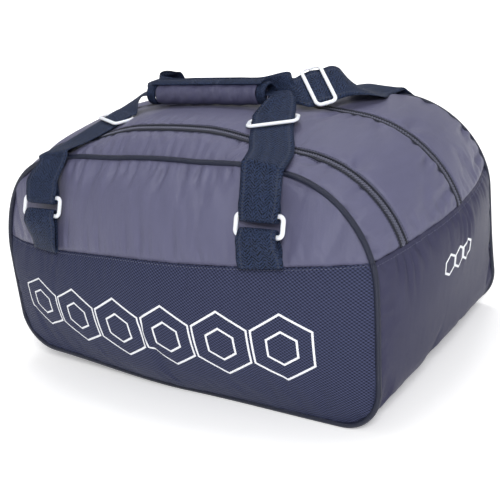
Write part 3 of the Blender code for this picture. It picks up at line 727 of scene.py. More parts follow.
def crease(points, normal, uv, start, end, width, depth):
    """Presses one tapering crease, with raised sides, along a line of the cloth's own map."""
    run = np.subtract(end, start)
    share = np.clip(((uv - start) @ run) / (run @ run), 0, 1)
    away = np.linalg.norm(uv - (start + share[..., None] * run), axis=-1)
    off = (away / (width * (0.55 + 0.8 * share))) ** 2
    fade = ease(1 - share) * ease(share * 6 + 0.1)
    return points - normal * (depth * (1 - 1.3 * off) * np.exp(-off) * fade)[..., None]


def doubled(grid):
    """The same smooth grid with a row and a column added inside every cell."""
    for axis in (0, 1):
        rows = np.moveaxis(grid, axis, 0)
        before = np.concatenate([2 * rows[:1] - rows[1:2], rows[:-2]])
        after = np.concatenate([rows[2:], 2 * rows[-1:] - rows[-2:-1]])
        finer = np.empty((2 * len(rows) - 1, *rows.shape[1:]))
        finer[0::2] = rows
        finer[1::2] = (9 * (rows[:-1] + rows[1:]) - before - after) / 16
        grid = np.moveaxis(finer, 0, axis)
    return grid


def relax(name, points, pressure, slack, reach_out, reach_in):
    """Cloth simulation of one panel, sewn down all round: slack cloth filled from behind."""
    normal, flip = outward(points)
    faces = grid_faces(*points.shape[:2])
    sheet = add_mesh("sim_" + name, points, faces[:, ::-1] if flip else faces, LIGHT)
    sewn = np.ones(points.shape[:2], bool)
    sewn[1:-1, 1:-1] = False
    sheet.vertex_groups.new(name="sewn").add(np.flatnonzero(sewn.ravel()).tolist(), 1.0, "REPLACE")
    cloth = sheet.modifiers.new("cloth", "CLOTH")
    for key, value in CLOTH_SETTINGS.items():
        setattr(cloth.settings, key, value)
    cloth.settings.uniform_pressure_force = pressure
    cloth.settings.shrink_min = -slack
    cloth.settings.effector_weights.gravity = 0
    cloth.collision_settings.use_collision = False
    cloth.point_cache.frame_start, cloth.point_cache.frame_end = 1, CLOTH_FRAMES
    scene = bpy.context.scene
    for number in range(1, CLOTH_FRAMES + 1):
        scene.frame_set(number)
    shaped = sheet.evaluated_get(bpy.context.evaluated_depsgraph_get()).to_mesh()
    found = np.zeros(len(shaped.vertices) * 3, np.float32)
    shaped.vertices.foreach_get("co", found)
    scene.frame_set(1)
    bpy.data.objects.remove(sheet)
    moved = found.reshape(points.shape).astype(float) - points
    along = np.sum(moved * normal, -1, keepdims=True)
    flat = moved - along * normal
    limit = np.where(along > 0, reach_out, reach_in)
    slid = SLIDE_LIMIT * np.tanh(flat / SLIDE_LIMIT)
    return points + normal * limit * np.tanh(along / limit) + slid


def coons(low, high, left, right):
    """A grid of outline-plane points filled in between its four edges."""
    s = np.linspace(0, 1, len(low))[None, :, None]
    t = np.linspace(0, 1, len(left))[:, None, None]
    ruled = (1 - t) * low[None] + t * high[None] + (1 - s) * left[:, None] + s * right[:, None]
    lower = (1 - s) * (1 - t) * low[0] + s * (1 - t) * low[-1]
    return ruled - (lower + (1 - s) * t * high[0] + s * t * high[-1])


def split_outline(edge, share):
    """An outline's plane points cut at two places: first part, middle, last part."""
    plane = edge[:, :2]
    run = lengths(plane)
    first = run <= share * run[-1]
    last = run >= (1 - share) * run[-1]
    return plane[first], plane[~first & ~last], plane[last]


def panel_plane(upper):
    """The flat grid (x, z) of an upper or lower panel."""
    columns = int(2 * SEAM_HALF / CELL)
    seam = np.stack([np.linspace(-SEAM_HALF, SEAM_HALF, columns), np.full(columns, SEAM_Z)], 1)
    edge = upper_outline() if upper else base_outline()
    first, middle, last = split_outline(edge, UPPER_END_SHARE if upper else LOWER_END_SHARE)
    long_side = resample(np.concatenate([first[-1:], middle, last[:1]]), columns)
    rows = int(lengths(first)[-1] / CELL)
    if upper:
        return coons(seam, long_side, resample(first, rows), resample(last[::-1], rows))
    return coons(long_side, seam, resample(first[::-1], rows), resample(last, rows))


def seam_dip(height):
    """How far the cloth sinks towards the colour seam from a height."""
    return DIP_DEPTH * hump(height, SEAM_Z, DIP_WIDTH)


def ring_dents(points):
    """How far the strap rings press into the panel behind them."""
    across = (np.abs(points[..., 0]) - STRAP_X) / (RING_HALF + 0.012)
    rise = (points[..., 2] - RING_Z) / (RING_RISE + 0.010)
    return DENT_DEPTH * np.exp(-(across**4) - rise**4)


def sewn_cloth(name, node, body, part, points, uv, creases, finish, slot):
    """A filled piece of cloth: relaxed, refined, drawn in at the colour seam and creased."""
    points, uv = doubled(relax(name, points, *FILLING[part])), doubled(uv)
    normal = outward(points)[0]
    height = uv[..., 1] if part in ("upper", "lower") else points[..., 2]
    points = points - normal * seam_dip(height)[..., None]
    if part == "upper":
        points = points - normal * ring_dents(points)[..., None]
    for line in creases:
        points = crease(points, normal, uv, *line)
    settle(cloth_sheet(name, points, finish, uv), body, node)
    return points


def add_panels(word, side):
    """The lower and upper half of the front or rear panel, which meet at the colour seam."""
    for part, seed in (("lower", SEED), ("upper", SEED + 7)):
        plane = panel_plane(part == "upper")
        x, z = plane[..., 0], plane[..., 1]
        points = slump(np.stack([x, side * panel_depth(x, z), z], -1))
        random = np.random.RandomState(seed + (side > 0))
        names = f"{word}_{part}_cloth", f"{word}_{part}_panel"
        if part == "upper":
            creases = upper_creases(random)
            sewn_cloth(*names, f"{word}_lid", part, points, plane, creases, LIGHT, "shell_light")
        else:
            creases, finish = lower_creases(random), PRINTED if side < 0 else NAVY
            points = sewn_cloth(*names, "case", part, points, plane, creases, finish, "shell_navy")
            seam_stitches(f"{word}_seam_stitches", points, -2)


def drawn(random, value):
    """A fixed number, or one drawn between a pair of limits."""
    return random.uniform(*value) if isinstance(value, tuple) else value


def hanging(random, starts, length, drift, width, depth):
    """Creases that hang from (place, place aimed at, height to measure from, drop of the start)."""
    found = []
    for place, aim, top, drop in starts:
        reach = drawn(random, length)
        end = aim + drawn(random, drift), top - reach
        found.append(((place, top - drop), end, drawn(random, width), drawn(random, depth)))
    return found


def scattered(random, low, high, count, jitter):
    return np.linspace(low, high, count) + random.uniform(-jitter, jitter, count)


def upper_creases(random):
    """Puckers that hang from the top piping between the straps, and small ones at the corners."""
    places = scattered(random, -0.115, 0.105, 15, 0.006)
    starts = [(x, x, float(top_height(x)) - 0.003, 0) for x in places]
    puckers = hanging(random, starts, (0.016, 0.050), (-0.006, 0.006), (0.0055, 0.0095), (0.0022, 0.0042))
    corners = [(x, x * 0.96, float(top_height(x)) - 0.004, 0) for x in (-0.205, -0.19, 0.185, 0.205)]
    return puckers + hanging(random, corners, 0.03, 0.0, 0.004, 0.0007)


def lower_creases(random):
    """Short shallow puckers under the colour seam."""
    starts = [(x, x, SEAM_Z, 0.002) for x in scattered(random, -0.22, 0.22, 13, 0.01)]
    return hanging(random, starts, (0.010, 0.026), (-0.004, 0.004), 0.005, 0.0005)


def strip_points(edge, near, far, cell=CELL):
    """A gusset grid between two Y lines, each a number or a function of height."""
    z = edge[:, 1]
    start = near(z) if callable(near) else np.full(len(z), near)
    end = far(z) if callable(far) else np.full(len(z), far)
    columns = max(4, int(np.max(end - start) / cell))
    share = np.linspace(0, 1, columns)
    y = start[:, None] * (1 - share) + end[:, None] * share
    return gusset(edge[:, None, :] + 0 * share[None, :, None], y)


def strip_map(edge, points):
    """The cloth map of a gusset grid: distance round the outline, and Y."""
    run = lengths(edge[:, :2]) - lengths(edge[:, :2])[-1] / 2
    return np.stack([run[:, None] + 0 * points[..., 1], points[..., 1]], -1)


def front_line(z):
    return -half_depth(z)


def back_line(z):
    return half_depth(z)


def add_gussets():
    """The cloth over the top: a strip on each lid and the band between the zips."""
    edge = even_outline(upper_outline(), 150)
    for node, name, body, near, far, zips in (
        ("front_gusset_strip", "front_gusset_cloth", "front_lid",
         front_line, FRONT_ZIP_Y - ZIP_HALF, (("front", LAST_COLUMNS),)),
        ("middle_top_band", "middle_band_cloth", "case", FRONT_ZIP_Y + ZIP_HALF,
         BACK_ZIP_Y - ZIP_HALF, (("front", FIRST_COLUMNS), ("back", LAST_COLUMNS))),
        ("back_gusset_strip", "back_gusset_cloth", "back_lid",
         BACK_ZIP_Y + ZIP_HALF, back_line, (("back", FIRST_COLUMNS),)),
    ):
        base = slump(strip_points(edge, near, far))
        uv = strip_map(edge, base)
        creases = gusset_creases(np.random.RandomState(SEED + len(name)), uv)
        points = sewn_cloth(name, node, body, "gusset", base, uv, creases, LIGHT, "shell_light")
        for word, columns in zips:
            add_zip_edge(f"{name}_{word}_zip", points, body, *columns)


def gusset_creases(random, uv):
    """Long soft creases round a strip's top corners, and short puckers along both its edges."""
    half, low, high = uv[-1, 0, 0], uv[0, 0, 1], uv[0, -1, 1]
    width = high - low
    found = []
    for along in (-0.92, -0.80, -0.66, -0.5, 0.48, 0.62, 0.72, 0.82, 0.93):
        u = half * (along + random.uniform(-0.03, 0.03))
        v = low + width * random.choice([0.03, 0.97])
        reach = width * random.uniform(0.35, 0.75) * (1 if v < (low + high) / 2 else -1)
        end = u + random.uniform(-0.028, 0.028), v + reach
        found.append(((u, v), end, random.uniform(0.007, 0.012), random.uniform(0.0026, 0.0044)))
    for along in scattered(random, -0.95, 0.95, 24, 0.02):
        v, turn = ((low, 1), (high, -1))[int(random.randint(2))]
        reach = random.uniform(0.010, 0.022)
        end = half * along + random.uniform(-0.004, 0.004), v + turn * reach
        found.append(((half * along, v), end, 0.0060, random.uniform(0.0012, 0.0024)))
    return found


def add_zip_edge(name, points, body, outer, inner):
    """The dark folded edge of the cloth beside a zip, with its row of stitches; its near-black colour is
    partly painted shadow of the gap at the zip.
    """
    normal = outward(points)[0][:, outer]
    path = points[:, outer] + normal * 0.0002
    settle(tube(f"{name}_edge", path, ROLLED_EDGE, EDGING_AND_GAP_SHADOW, 6), body)
    line = (points[:, outer] + points[:, inner]) / 2
    settle(stitches(f"{name}_stitches", line, normal, THREAD), body)


def add_ends():
    """The smooth lower panels at both ends."""
    base = even_outline(end_outline(), 46)
    for word, edge, finish in (("right", base, MARKED), ("left", mirrored(base)[::-1], DARK)):
        points = strip_points(edge, front_line, back_line)
        run = lengths(edge[:, :2])
        uv = np.stack([points[..., 1], run[:, None] + 0 * points[..., 1]], -1)
        creases = end_creases(np.random.RandomState(SEED + 31 + len(word)), run[-1])
        names = f"{word}_end_cloth", f"{word}_end_panel"
        points = sewn_cloth(*names, "case", "end", slump(points), uv, creases, finish, "shell_dark")
        seam_stitches(f"{word}_end_stitches", points, -3)


def end_creases(random, height):
    """Folds that hang down from the two zip ends and the seam."""
    starts = [(y + shift, y + shift * 1.9, height, 0.002)
              for y in (FRONT_ZIP_Y, BACK_ZIP_Y) for shift in (-0.012, -0.004, 0.005, 0.014)]
    folds = hanging(random, starts, (0.035, 0.085), (-0.004, 0.004), (0.0038, 0.0065), (0.0018, 0.0034))
    starts = [(y, y, height, 0.002) for y in scattered(random, -0.12, 0.12, 9, 0.006)]
    return folds + hanging(random, starts, (0.015, 0.05), 0.0, 0.005, (0.0008, 0.0016))


# ---------------- piping, zips, base


def add_piping():
    """The bead round each panel, split at the colour seam."""
    for word, side in SIDES:
        for part, outline, body in (("upper", upper_outline, f"{word}_lid"), ("lower", base_outline, "case")):
            edge = even_outline(outline(), 220)
            path = np.stack([edge[:, 0], side * half_depth(edge[:, 1]), edge[:, 1]], 1)
            path[:, 2] = np.maximum(path[:, 2], PIPING_RADIUS)
            bead = tube(f"{word}_{part}_bead", slump(path), PIPING_RADIUS, PIPING, 10)
            settle(bead, body, f"{word}_piping_{part}")


def add_zips():
    """Each zip's two tapes, one on its lid and one on the middle band, with their coils."""
    edge = even_outline(upper_outline(), 240)
    for word, zip_y, side in (("front", FRONT_ZIP_Y, -1), ("back", BACK_ZIP_Y, 1)):
        for part, sign, body in (("lid", side, f"{word}_lid"), ("band", -side, "case")):
            name = f"{word}_zip_{part}"
            near, far = sorted(zip_y + sign * limit for limit in TAPE_LIMITS)
            points = slump(strip_points(edge, near, far, 0.002))
            points = points - outward(points)[0] * TAPE_SINK
            uv = strip_map(edge, points)
            tape = cloth_sheet(f"{name}_tape", points, TAPE, uv, thickness=0.0007)
            settle(tape, body, f"{name}_chain")
            settle(add_coil(f"{name}_coil", edge, zip_y, sign), body)


def add_coil(name, edge, zip_y, sign):
    """One side's monofilament coil, interlocked with the other across the zip's middle."""
    run = lengths(edge[:, :2])
    phase = np.arange(int(run[-1] / COIL_PITCH) * COIL_STEPS) / COIL_STEPS
    along = phase * COIL_PITCH + (0.25 if sign > 0 else 0.75) * COIL_PITCH
    along = np.clip(along, 0, run[-1])
    here = np.stack([np.interp(along, run, edge[:, k]) for k in range(4)], 1)
    angle = phase * 2 * math.pi
    y = zip_y + sign * (0.0009 + 0.0014 * np.cos(angle))
    lift = 0.0002 + 0.0007 * np.sin(angle)
    out = np.stack([here[:, 2], 0 * y, here[:, 3]], 1)
    return tube(name, slump(gusset(here, y)) + out * lift[:, None], COIL_WIRE, COIL, 4)


def flat_sheet(name, node, half_x, half_y, height, finish, thickness):
    """A level sheet that follows the case's slump, with its upper face at a height."""
    x, y = np.meshgrid(np.linspace(-half_x, half_x, 60), np.linspace(-half_y, half_y, 40), indexing="ij")
    points = slump(np.stack([x, y, np.full(x.shape, height)], -1))
    piece = add_mesh(name, points, grid_faces(*x.shape), finish, np.stack([x, y], -1))
    add_modifier(piece, "SOLIDIFY", thickness=thickness, offset=-1.0)
    settle(piece, "case", node)


def add_base():
    """The base cloth and the stiff board that lies on it."""
    half_y = float(half_depth(GROUND)) - 0.001
    flat_sheet("base_cloth", "base_panel", BASE_HALF, half_y, 0.0020, BASE, 0.0016)
    low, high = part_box("base_board")
    flat_sheet("base_stiffener", "base_board", high[0], high[1], high[2], BOARD, high[2] - low[2])


def add_divider():
    """The padded wall between the compartments."""
    low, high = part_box("compartment_divider")
    share_x, share_z = np.meshgrid(np.linspace(-1, 1, 70), np.linspace(0, 1, 30), indexing="ij")
    x = high[0] * np.sin(share_x * math.pi / 2)
    bottom = np.maximum(low[2], base_height(x) + DIVIDER_GAP)
    top = np.minimum(top_height(x) - DIVIDER_GAP, high[2])
    z = bottom + (top - bottom) * share_z
    ripple = 0.0012 * np.sin(x * 60) * np.sin(share_z * math.pi)
    points = slump(np.stack([x, np.full(x.shape, BAND_MIDDLE) + ripple, z], -1))
    uv = np.stack([x, z], -1)
    wall = cloth_sheet("divider_wall", points, LINING, uv, thickness=0.0020, smooth_level=1)
    settle(wall, "case", "compartment_divider")


# ---------------- rings and straps


def ring_frame(word):
    """A ring's lower bar, the way up along it and the way out of the panel."""
    low = joint_place(f"{word}_rings_swing")
    high = joint_place(f"{word}_handle_swing")
    up = unit(high - low)
    side = -1 if word == "front" else 1
    out = np.array([0, side * up[2], -side * up[1]])
    return low, up, out


def rounded_loop(half_u, half_v, corner, steps=7):
    pairs = []
    for quarter, (su, sv) in enumerate(((1, 1), (-1, 1), (-1, -1), (1, -1))):
        for k in range(steps + 1):
            angle = math.pi / 2 * (quarter + k / steps)
            pairs.append((su * (half_u - corner) + corner * math.cos(angle),
                          sv * (half_v - corner) + corner * math.sin(angle)))
    return np.array(pairs)


def add_rings():
    """Two white rounded rings to each strap."""
    loop = rounded_loop(RING_HALF, RING_RISE / 2, 0.0048)
    for word, _ in SIDES:
        low, up, out = ring_frame(word)
        for hand, sign in HANDS:
            centre = low + up * RING_RISE / 2 + np.array([sign * STRAP_X, 0, 0])
            path = centre + loop[:, :1] * X_AXIS + loop[:, 1:] * up
            ring = tube(f"{hand}_{word}_white_ring", path, RING_BAR, WHITE, 12, True, 0.85, out)
            settle(ring, f"{word}_rings", f"{hand}_{word}_ring")


def hook_stations(bar, up, out, turn, across):
    """Webbing round a bar, from its inner side over (1) or under (-1) it to the outside."""
    found = []
    for angle, width in zip(np.linspace(0, math.pi, 7), np.linspace(TAIL_HALF, THREADED_HALF, 7)):
        rise = up * turn * math.sin(angle)
        radial = rise - out * math.cos(angle)
        found.append((bar + radial * BAR_TO_WEB + rise * FOLD_BULGE, radial, across, width))
    return found


def anchor_foot(x, side):
    """Where an anchor is sewn down: the ways across and out, and three stations up the panel."""
    lean = side * (panel_depth(x + WEB_HALF, SEAM_Z) - panel_depth(x - WEB_HALF, SEAM_Z))
    across = unit([2 * WEB_HALF, float(lean), 0])
    out = unit(np.cross(across, [0, 0, 1]) * -side)
    stations = []
    for rise in (0.0006, 0.008, 0.017):
        left, middle, right = (float(panel_depth(x + k * WEB_HALF, SEAM_Z + rise)) for k in (-1, 0, 1))
        depth = max(middle, (left + right) / 2) + 0.0024
        place = slump(np.array([x, side * depth, SEAM_Z + rise]))
        stations.append((place, -out, across, TAIL_HALF))
    return across, out, stations


def add_anchors():
    """Webbing sewn down at the seam and folded over each ring's lower bar."""
    for word, side in SIDES:
        low, up, out = ring_frame(word)
        for hand, sign in HANDS:
            bar = low + np.array([sign * STRAP_X, 0, 0])
            foot_across, foot_out, stations = anchor_foot(sign * STRAP_X, side)
            foot = stations[0][0] + foot_out * 0.0034 + np.array([0, 0, 0.0004])
            stations += hook_stations(bar, up, out, 1, X_AXIS)
            stations.append((bar + out * (BAR_TO_WEB - 0.0004) - up * 0.006, out, X_AXIS, WEB_HALF))
            tail = bar + out * (BAR_TO_WEB - 0.0026) - up * 0.012
            stations.append((tail, out, unit(X_AXIS * 0.5 + foot_across * 0.5), WEB_HALF))
            stations.append((foot + np.array([0, 0, 0.009]), foot_out, foot_across, WEB_HALF))
            stations.append((foot, foot_out, foot_across, WEB_HALF))
            piece = webbing(f"{hand}_{word}_anchor_webbing", stations, 0.002)
            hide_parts(f"{hand}_{word}_anchor")
            fold_with_lid(piece)


def mirror_stations(stations):
    """The same half strap on the left, walked back the other way."""
    flip = np.array([-1.0, 1, 1])
    return [(np.asarray(c) * flip, np.asarray(n) * flip, np.asarray(a) * flip, w)
            for c, n, a, w in stations[-2::-1]]


def over_piping(x, side, lift, skew=0.0):
    """Stations where a strap bends over the piping."""
    z = float(top_height(x))
    slope = -x / (z - CROWN_Z)
    across = -side * unit([1, 0, slope + skew])
    bend = PIPING_RADIUS + WEB / 2 + lift
    found = []
    for degrees in (12, 45, 78):
        lean = math.radians(degrees)
        normal = unit([-slope * math.sin(lean), side * math.cos(lean), math.sin(lean)])
        centre = np.array([x, side * half_depth(z), z]) + normal * bend
        found.append((centre, normal, across, WEB_HALF))
    return found


# Which way each adjuster faces, and how far one is turned from its run to lie on its strap
SLIDE_FACES = {"right_front": (0.10, -0.22, 0.97), "right_back": (0.22, -0.55, 0.80),
               "left_front": (-0.10, -0.22, 0.97), "left_back": (-0.118, 0.249, 0.960)}
SLIDE_TURNS = {"right_back": 0.36}


def slide_frame(name):
    """Middle, strap direction, way across the strap and face normal of an adjuster."""
    run = unit(JOINTS[f"{name}_adjuster_slide"]["axis"])
    side = unit(np.cross(run, SLIDE_FACES[name]))
    face = np.cross(side, run)
    turn = SLIDE_TURNS.get(name, 0.0)
    along = run * math.cos(turn) - side * math.sin(turn)
    across = side * math.cos(turn) + run * math.sin(turn)
    return middle_of(f"{name}_adjuster") - face * 0.0013, along, across, face


def on_top(x, y, lift):
    """A place over the gusset's top, with the surface's normal there."""
    step = 0.002
    dx = (top_surface(x + step, y) - top_surface(x - step, y)) / (2 * step)
    dy = (top_surface(x, y + step) - top_surface(x, y - step)) / (2 * step)
    normal = unit([-dx, -dy, 1])
    return np.array([x, y, top_surface(x, y)]) + normal * lift, normal


def strap_end(word, across):
    """A strap's end behind its right ring and its fold under the ring's upper bar."""
    up, out = ring_frame(word)[1:]
    bar = joint_place(f"{word}_handle_swing") + np.array([STRAP_X, 0, 0])
    stations = [(bar + out * (BAR_TO_WEB - 0.0030) + up * 0.020, -out, across, TAIL_HALF)]
    stations.append((bar - out * BAR_TO_WEB * 0.8 + up * 0.007, -out, across, TAIL_HALF))
    return bar, up, out, stations + hook_stations(bar, up, out, -1, across)


def front_half():
    """The right half of the front strap, from its ring to the middle of the grip.

    It leaves its ring, bends over the piping, is threaded through its adjuster and is gathered into
    the grip. The numbers are offsets from those pieces.
    """
    bar, up, out, stations = strap_end("front", X_AXIS)
    stations.append((bar + out * (BAR_TO_WEB - 0.0004) + up * 0.008, out, X_AXIS, WEB_HALF))
    stations.append((bar + out * (BAR_TO_WEB - 0.0008) + up * 0.020, out, X_AXIS, WEB_HALF))
    stations += over_piping(0.141, -1, 0.0046)
    place, normal = on_top(0.1335, -0.108, 0.0052)
    stations.append((place, normal, unit([0.97, 0.20, -0.15]), WEB_HALF))
    centre, along, sideways, face = slide_frame("right_front")
    for step, lift in ((-0.026, -0.0012), (-0.011, -0.0006), (0.0, 0.0006), (0.011, 0.0010), (0.018, 0.0006)):
        stations.append((centre + along * step + face * lift, face, sideways, THREADED_HALF))
    throat = np.array([GRIP_END + 0.014, GRIP_MIDDLE[1] - 0.004, GRIP_MIDDLE[2] - 0.001])
    stations.append((throat, [0.25, -0.1, 1], [0.55, 0.84, 0.1], 0.0150))
    for x in (GRIP_END + 0.002, 0.055, 0.02, 0.0):
        stations.append(([x, *GRIP_MIDDLE[1:]], [0, 0, 1], [0, 1, 0], 0.0088))
    return stations


def back_half(hand):
    """Half of the rear strap, as it would lie on the right, from its ring to behind the grip."""
    right = hand == "right"
    bar, up, out, stations = strap_end("back", -X_AXIS)
    skew, drift = (0.22, 0.014) if right else (0.0, 0.001)
    drifted = bar + out * (BAR_TO_WEB - 0.0006) + up * 0.014 - X_AXIS * (drift * 0.35)
    stations.append((drifted, out, [-1.0, 0, -skew * 0.6], WEB_HALF))
    stations += over_piping(STRAP_X - drift, 1, 0.0030, skew)
    flip = np.array([1.0 if right else -1.0, 1, 1])
    centre, along, sideways, face = (v * flip for v in slide_frame(f"{hand}_back"))
    sideways = sideways * flip[0]

    def station(place, normal, run, half):
        stations.append((np.array(place), unit(normal), unit(np.cross(run, normal)), half))

    if right:
        for x, y, lift, run in (
            (0.131, 0.100, 0.005, (0.25, -1, 0.1)),
            (0.142, 0.070, 0.010, (-0.1, -1, 0.1)),
        ):
            place, normal = on_top(x, y, lift)
            station(place, normal + np.array([0.12, -0.1, 0]), run, WEB_HALF)
        lifted = centre - along * 0.036 - face * 0.007
        stations.append((lifted, [0.24, -0.34, 0.91], sideways, WEB_HALF))
    for step, lift in ((-0.024, 0.0), (-0.011, -0.0006), (0.0, 0.0014), (0.011, -0.0006)):
        stations.append((centre + along * step + face * lift, face, sideways, THREADED_HALF))
    if right:
        stations.append((centre + along * 0.021, face, sideways, THREADED_HALF - 0.002))
    else:
        arched = centre + along * 0.032 + face * 0.011
        stations.append((arched, face + X_AXIS * 0.20, [-0.88, 0.42, 0.22], 0.0215))
    y, z = GRIP_MIDDLE[1] + GRIP_RADIUS + 0.0034, GRIP_MIDDLE[2] + 0.004
    station((GRIP_END + 0.006, y + 0.002, z), (0, -0.9, 0.35), (-1, 0, 0), 0.0140)
    for x in (0.060, 0.030, 0.0):
        station((x, y, z), (0, -1, 0.12), (-1, 0, 0), 0.0092)
    return stations


def add_straps():
    """Each strap in one length, from its left ring through or behind the grip to its right one."""
    halves = (("front", front_half(), front_half()), ("back", back_half("right"), back_half("left")))
    for word, right, left in halves:
        piece = webbing(f"{word}_strap_webbing", right + mirror_stations(left), 0.0022)
        settle(piece, f"{word}_handle", f"{word}_strap")


def add_adjusters():
    """White slides: a rounded frame and a middle bar that the webbing is threaded round."""
    loop = rounded_loop(SLIDE_HALF, 0.0108, 0.0055)
    for name in SLIDE_FACES:
        centre, along, across, face = slide_frame(name)
        tilt, base = (0.24, 0.0004) if "front" in name else (0.0, 0.0030)
        rise = base - loop[:, 1:] * tilt
        path = centre + loop[:, :1] * across + loop[:, 1:] * along + rise * face
        ring = tube(f"{name}_slide", path, 0.0021, WHITE, 12, True, 0.8, face)
        drop = np.array([(0.97, base), (0.93, -0.0012), (0.86, -0.0022)]) * [SLIDE_HALF, 1]
        ends = np.concatenate([drop, drop[::-1] * [-1, 1]])
        path = centre + ends[:, :1] * across + ends[:, 1:] * face
        bar = tube(f"{name}_slide_bar", path, 0.0016, WHITE, 10)
        settle(ring, f"{name}_adjuster", f"{name}_adjuster")
        settle(bar, f"{name}_adjuster")


# ---------------- grip


def sleeve(name, node, x_values, radii, wall, finish, puckered=0.0, sides=32, squeeze=0.92):
    """A padded sleeve along the grip, open at both ends, a little flatter than round."""
    turn = np.arange(sides) * 2 * math.pi / sides
    sections, maps = [], []
    for x, radius in zip(x_values, radii):
        folds = 1 + puckered * np.sin(turn * 3 + x * 95) * np.sin(x * 210 + turn * 2)
        y, z = np.cos(turn) * radius * folds, np.sin(turn) * radius * squeeze * folds
        flat = np.full(sides, x)
        sections.append(np.stack([flat, GRIP_MIDDLE[1] + y, GRIP_MIDDLE[2] + z], 1))
        maps.append(np.stack([flat, turn * radius], 1))
    piece = add_mesh(name, np.array(sections), grid_faces(len(sections), sides, True), finish, np.array(maps))
    add_modifier(piece, "SOLIDIFY", thickness=wall, offset=-1.0)
    add_modifier(piece, "SUBSURF", levels=1, render_levels=1)
    face = piece.data.polygons[0]
    if (face.center - Vector(GRIP_MIDDLE)).yz.dot(face.normal.yz) < 0:
        piece.data.flip_normals()
    settle(piece, "front_handle", node)


def add_grip():
    """The padded sleeve with a webbing binding at each end."""
    inner = GRIP_HIGH[0]
    x = np.linspace(-inner, inner, 46)
    soft = 1 - 0.035 * (np.abs(x) / inner) ** 6 + 0.010 * np.sin(x * 160) * np.cos(x * 47)
    radii = GRIP_RADIUS * soft
    sleeve("grip_cover", "grip_sleeve", x, radii, 0.0024, GRIP_CLOTH, 0.06)
    radii = GRIP_RADIUS * np.array([0.97, 1.0, 1.01, 1.0, 1.01, 0.99, 0.94])
    for hand, sign in HANDS[::-1]:
        x = np.sort(sign * np.linspace(inner + 0.0006, GRIP_END, 7))
        sleeve(f"{hand}_grip_binding", f"{hand}_grip_band", x, radii, 0.0026, WEBBING)


def add_flap():
    """The hook-and-loop flap over the top of the grip."""
    radius = GRIP_RADIUS + 0.0026
    turn = np.radians(np.linspace(*FLAP_ANGLES, 12))
    x, turn = np.meshgrid(np.linspace(-FLAP_HALF, FLAP_HALF, 40), turn, indexing="ij")
    y = GRIP_MIDDLE[1] + radius * np.cos(turn)
    z = GRIP_MIDDLE[2] + radius * 0.96 * np.sin(turn)
    points, uv = np.stack([x, y, z], -1), np.stack([x, turn * radius], -1)
    piece = cloth_sheet("grip_flap_webbing", points, WEBBING, uv, thickness=0.0016, smooth_level=1)
    settle(piece, "grip_flap", "grip_flap")


# ---------------- zip sliders


# Half outlines (along, across), their levels (height, size) and the bridge's line (along, height)
SLIDER_HALF = [(0.0070, 0.0022), (0.0050, 0.0040), (-0.0010, 0.0046), (-0.0050, 0.0040), (-0.0070, 0.0026)]
SLIDER_LEVELS = ((0, 0.94), (0.0006, 1), (0.0020, 1), (0.0032, 0.82))
BRIDGE = ((0.0052, 0.0026), (0.0046, 0.0052), (0.0016, 0.0066), (-0.0030, 0.0066), (-0.0054, 0.0050),
          (-0.0058, 0.0026))
TONGUE_HALF = [(0.0006, 0.0018), (-0.0040, 0.0030), (-0.0130, 0.0034), (-0.0220, 0.0036), (-0.0250, 0.0022)]
TONGUE_LEVELS = ((-0.0006, 1), (0.0006, 1))


def block(name, half_outline, levels, frame_at, body):
    """A cast block from half an outline of (along, across) pairs, with softened edges."""
    origin, up, out = frame_at
    across = np.cross(up, out)
    outline = half_outline + [(a, -b) for a, b in half_outline[::-1]]
    sections = [[origin + out * height + (up * a + across * b) * share for a, b in outline]
                for height, share in levels]
    piece = add_mesh(name, sections, tube_faces(len(levels), len(outline)), METAL, smooth=False)
    recalculate(piece)
    add_modifier(piece, "BEVEL", width=0.0004, segments=2)
    settle(piece, body, body)


def add_sliders():
    """Each zip's slider with the bridge that holds its pull."""
    for word, _ in SIDES:
        body = f"{word}_zip_slider"
        pivot, centre = joint_place(f"{word}_slider_travel"), middle_of(body)
        out = unit((centre - pivot) * [1, 0, 1])
        up = np.array([out[2], 0, -out[0]])
        base = centre - out * 0.0016
        block(f"{word}_slider_body", SLIDER_HALF, SLIDER_LEVELS, (base, up, out), body)
        bridge = np.array([base + up * a + out * h for a, h in BRIDGE])
        arch = tube(f"{word}_slider_bridge", spline(bridge, 0.001), 0.0007, METAL, 8)
        settle(arch, body)
        hinge = joint_place(f"{word}_pull_swing")
        block(f"{word}_pull_tongue", TONGUE_HALF, TONGUE_LEVELS, (hinge, up, out), f"{word}_zip_pull")


# ---------------- printed cloth


HEXAGON_SLOPE = 0.866  # sine of 60 degrees


def hexagon_row(shader, u, v, middle, pitch, count, radius, line):
    """1 on the outlines of a row of hexagons, else 0."""
    from_left = shader.math("SUBTRACT", u, middle[0] - pitch * count / 2)
    cell = shader.math("SUBTRACT", shader.math("FLOORED_MODULO", from_left, pitch), pitch / 2)
    side = shader.math("ABSOLUTE", cell)
    rise = shader.math("ABSOLUTE", shader.math("SUBTRACT", v, middle[1]))
    slope = shader.math("MULTIPLY_ADD", rise, HEXAGON_SLOPE, shader.math("MULTIPLY", side, 0.5))
    away = shader.math("ABSOLUTE", shader.math("SUBTRACT", shader.math("MAXIMUM", side, slope), radius))
    reach = shader.math("ABSOLUTE", shader.math("SUBTRACT", u, middle[0]))
    inside = shader.math("LESS_THAN", reach, pitch * count / 2)
    return shader.math("MULTIPLY", shader.math("LESS_THAN", away, line), inside)


def print_rows(material, rows, ink=(0.80, 0.81, 0.84)):
    """Prints rows of plain hexagon outlines over a cloth material."""
    shader = Shader(material.name, material)
    under = shader.principled.inputs["Base Color"].links[0].from_socket
    u, v = shader.uv()
    total = None
    for row in rows:
        mask = hexagon_row(shader, u, v, *row)
        total = mask if total is None else shader.math("MAXIMUM", total, mask)
    shader.put(shader.principled.inputs["Base Color"], shader.mix(total, under, ink))
    return material


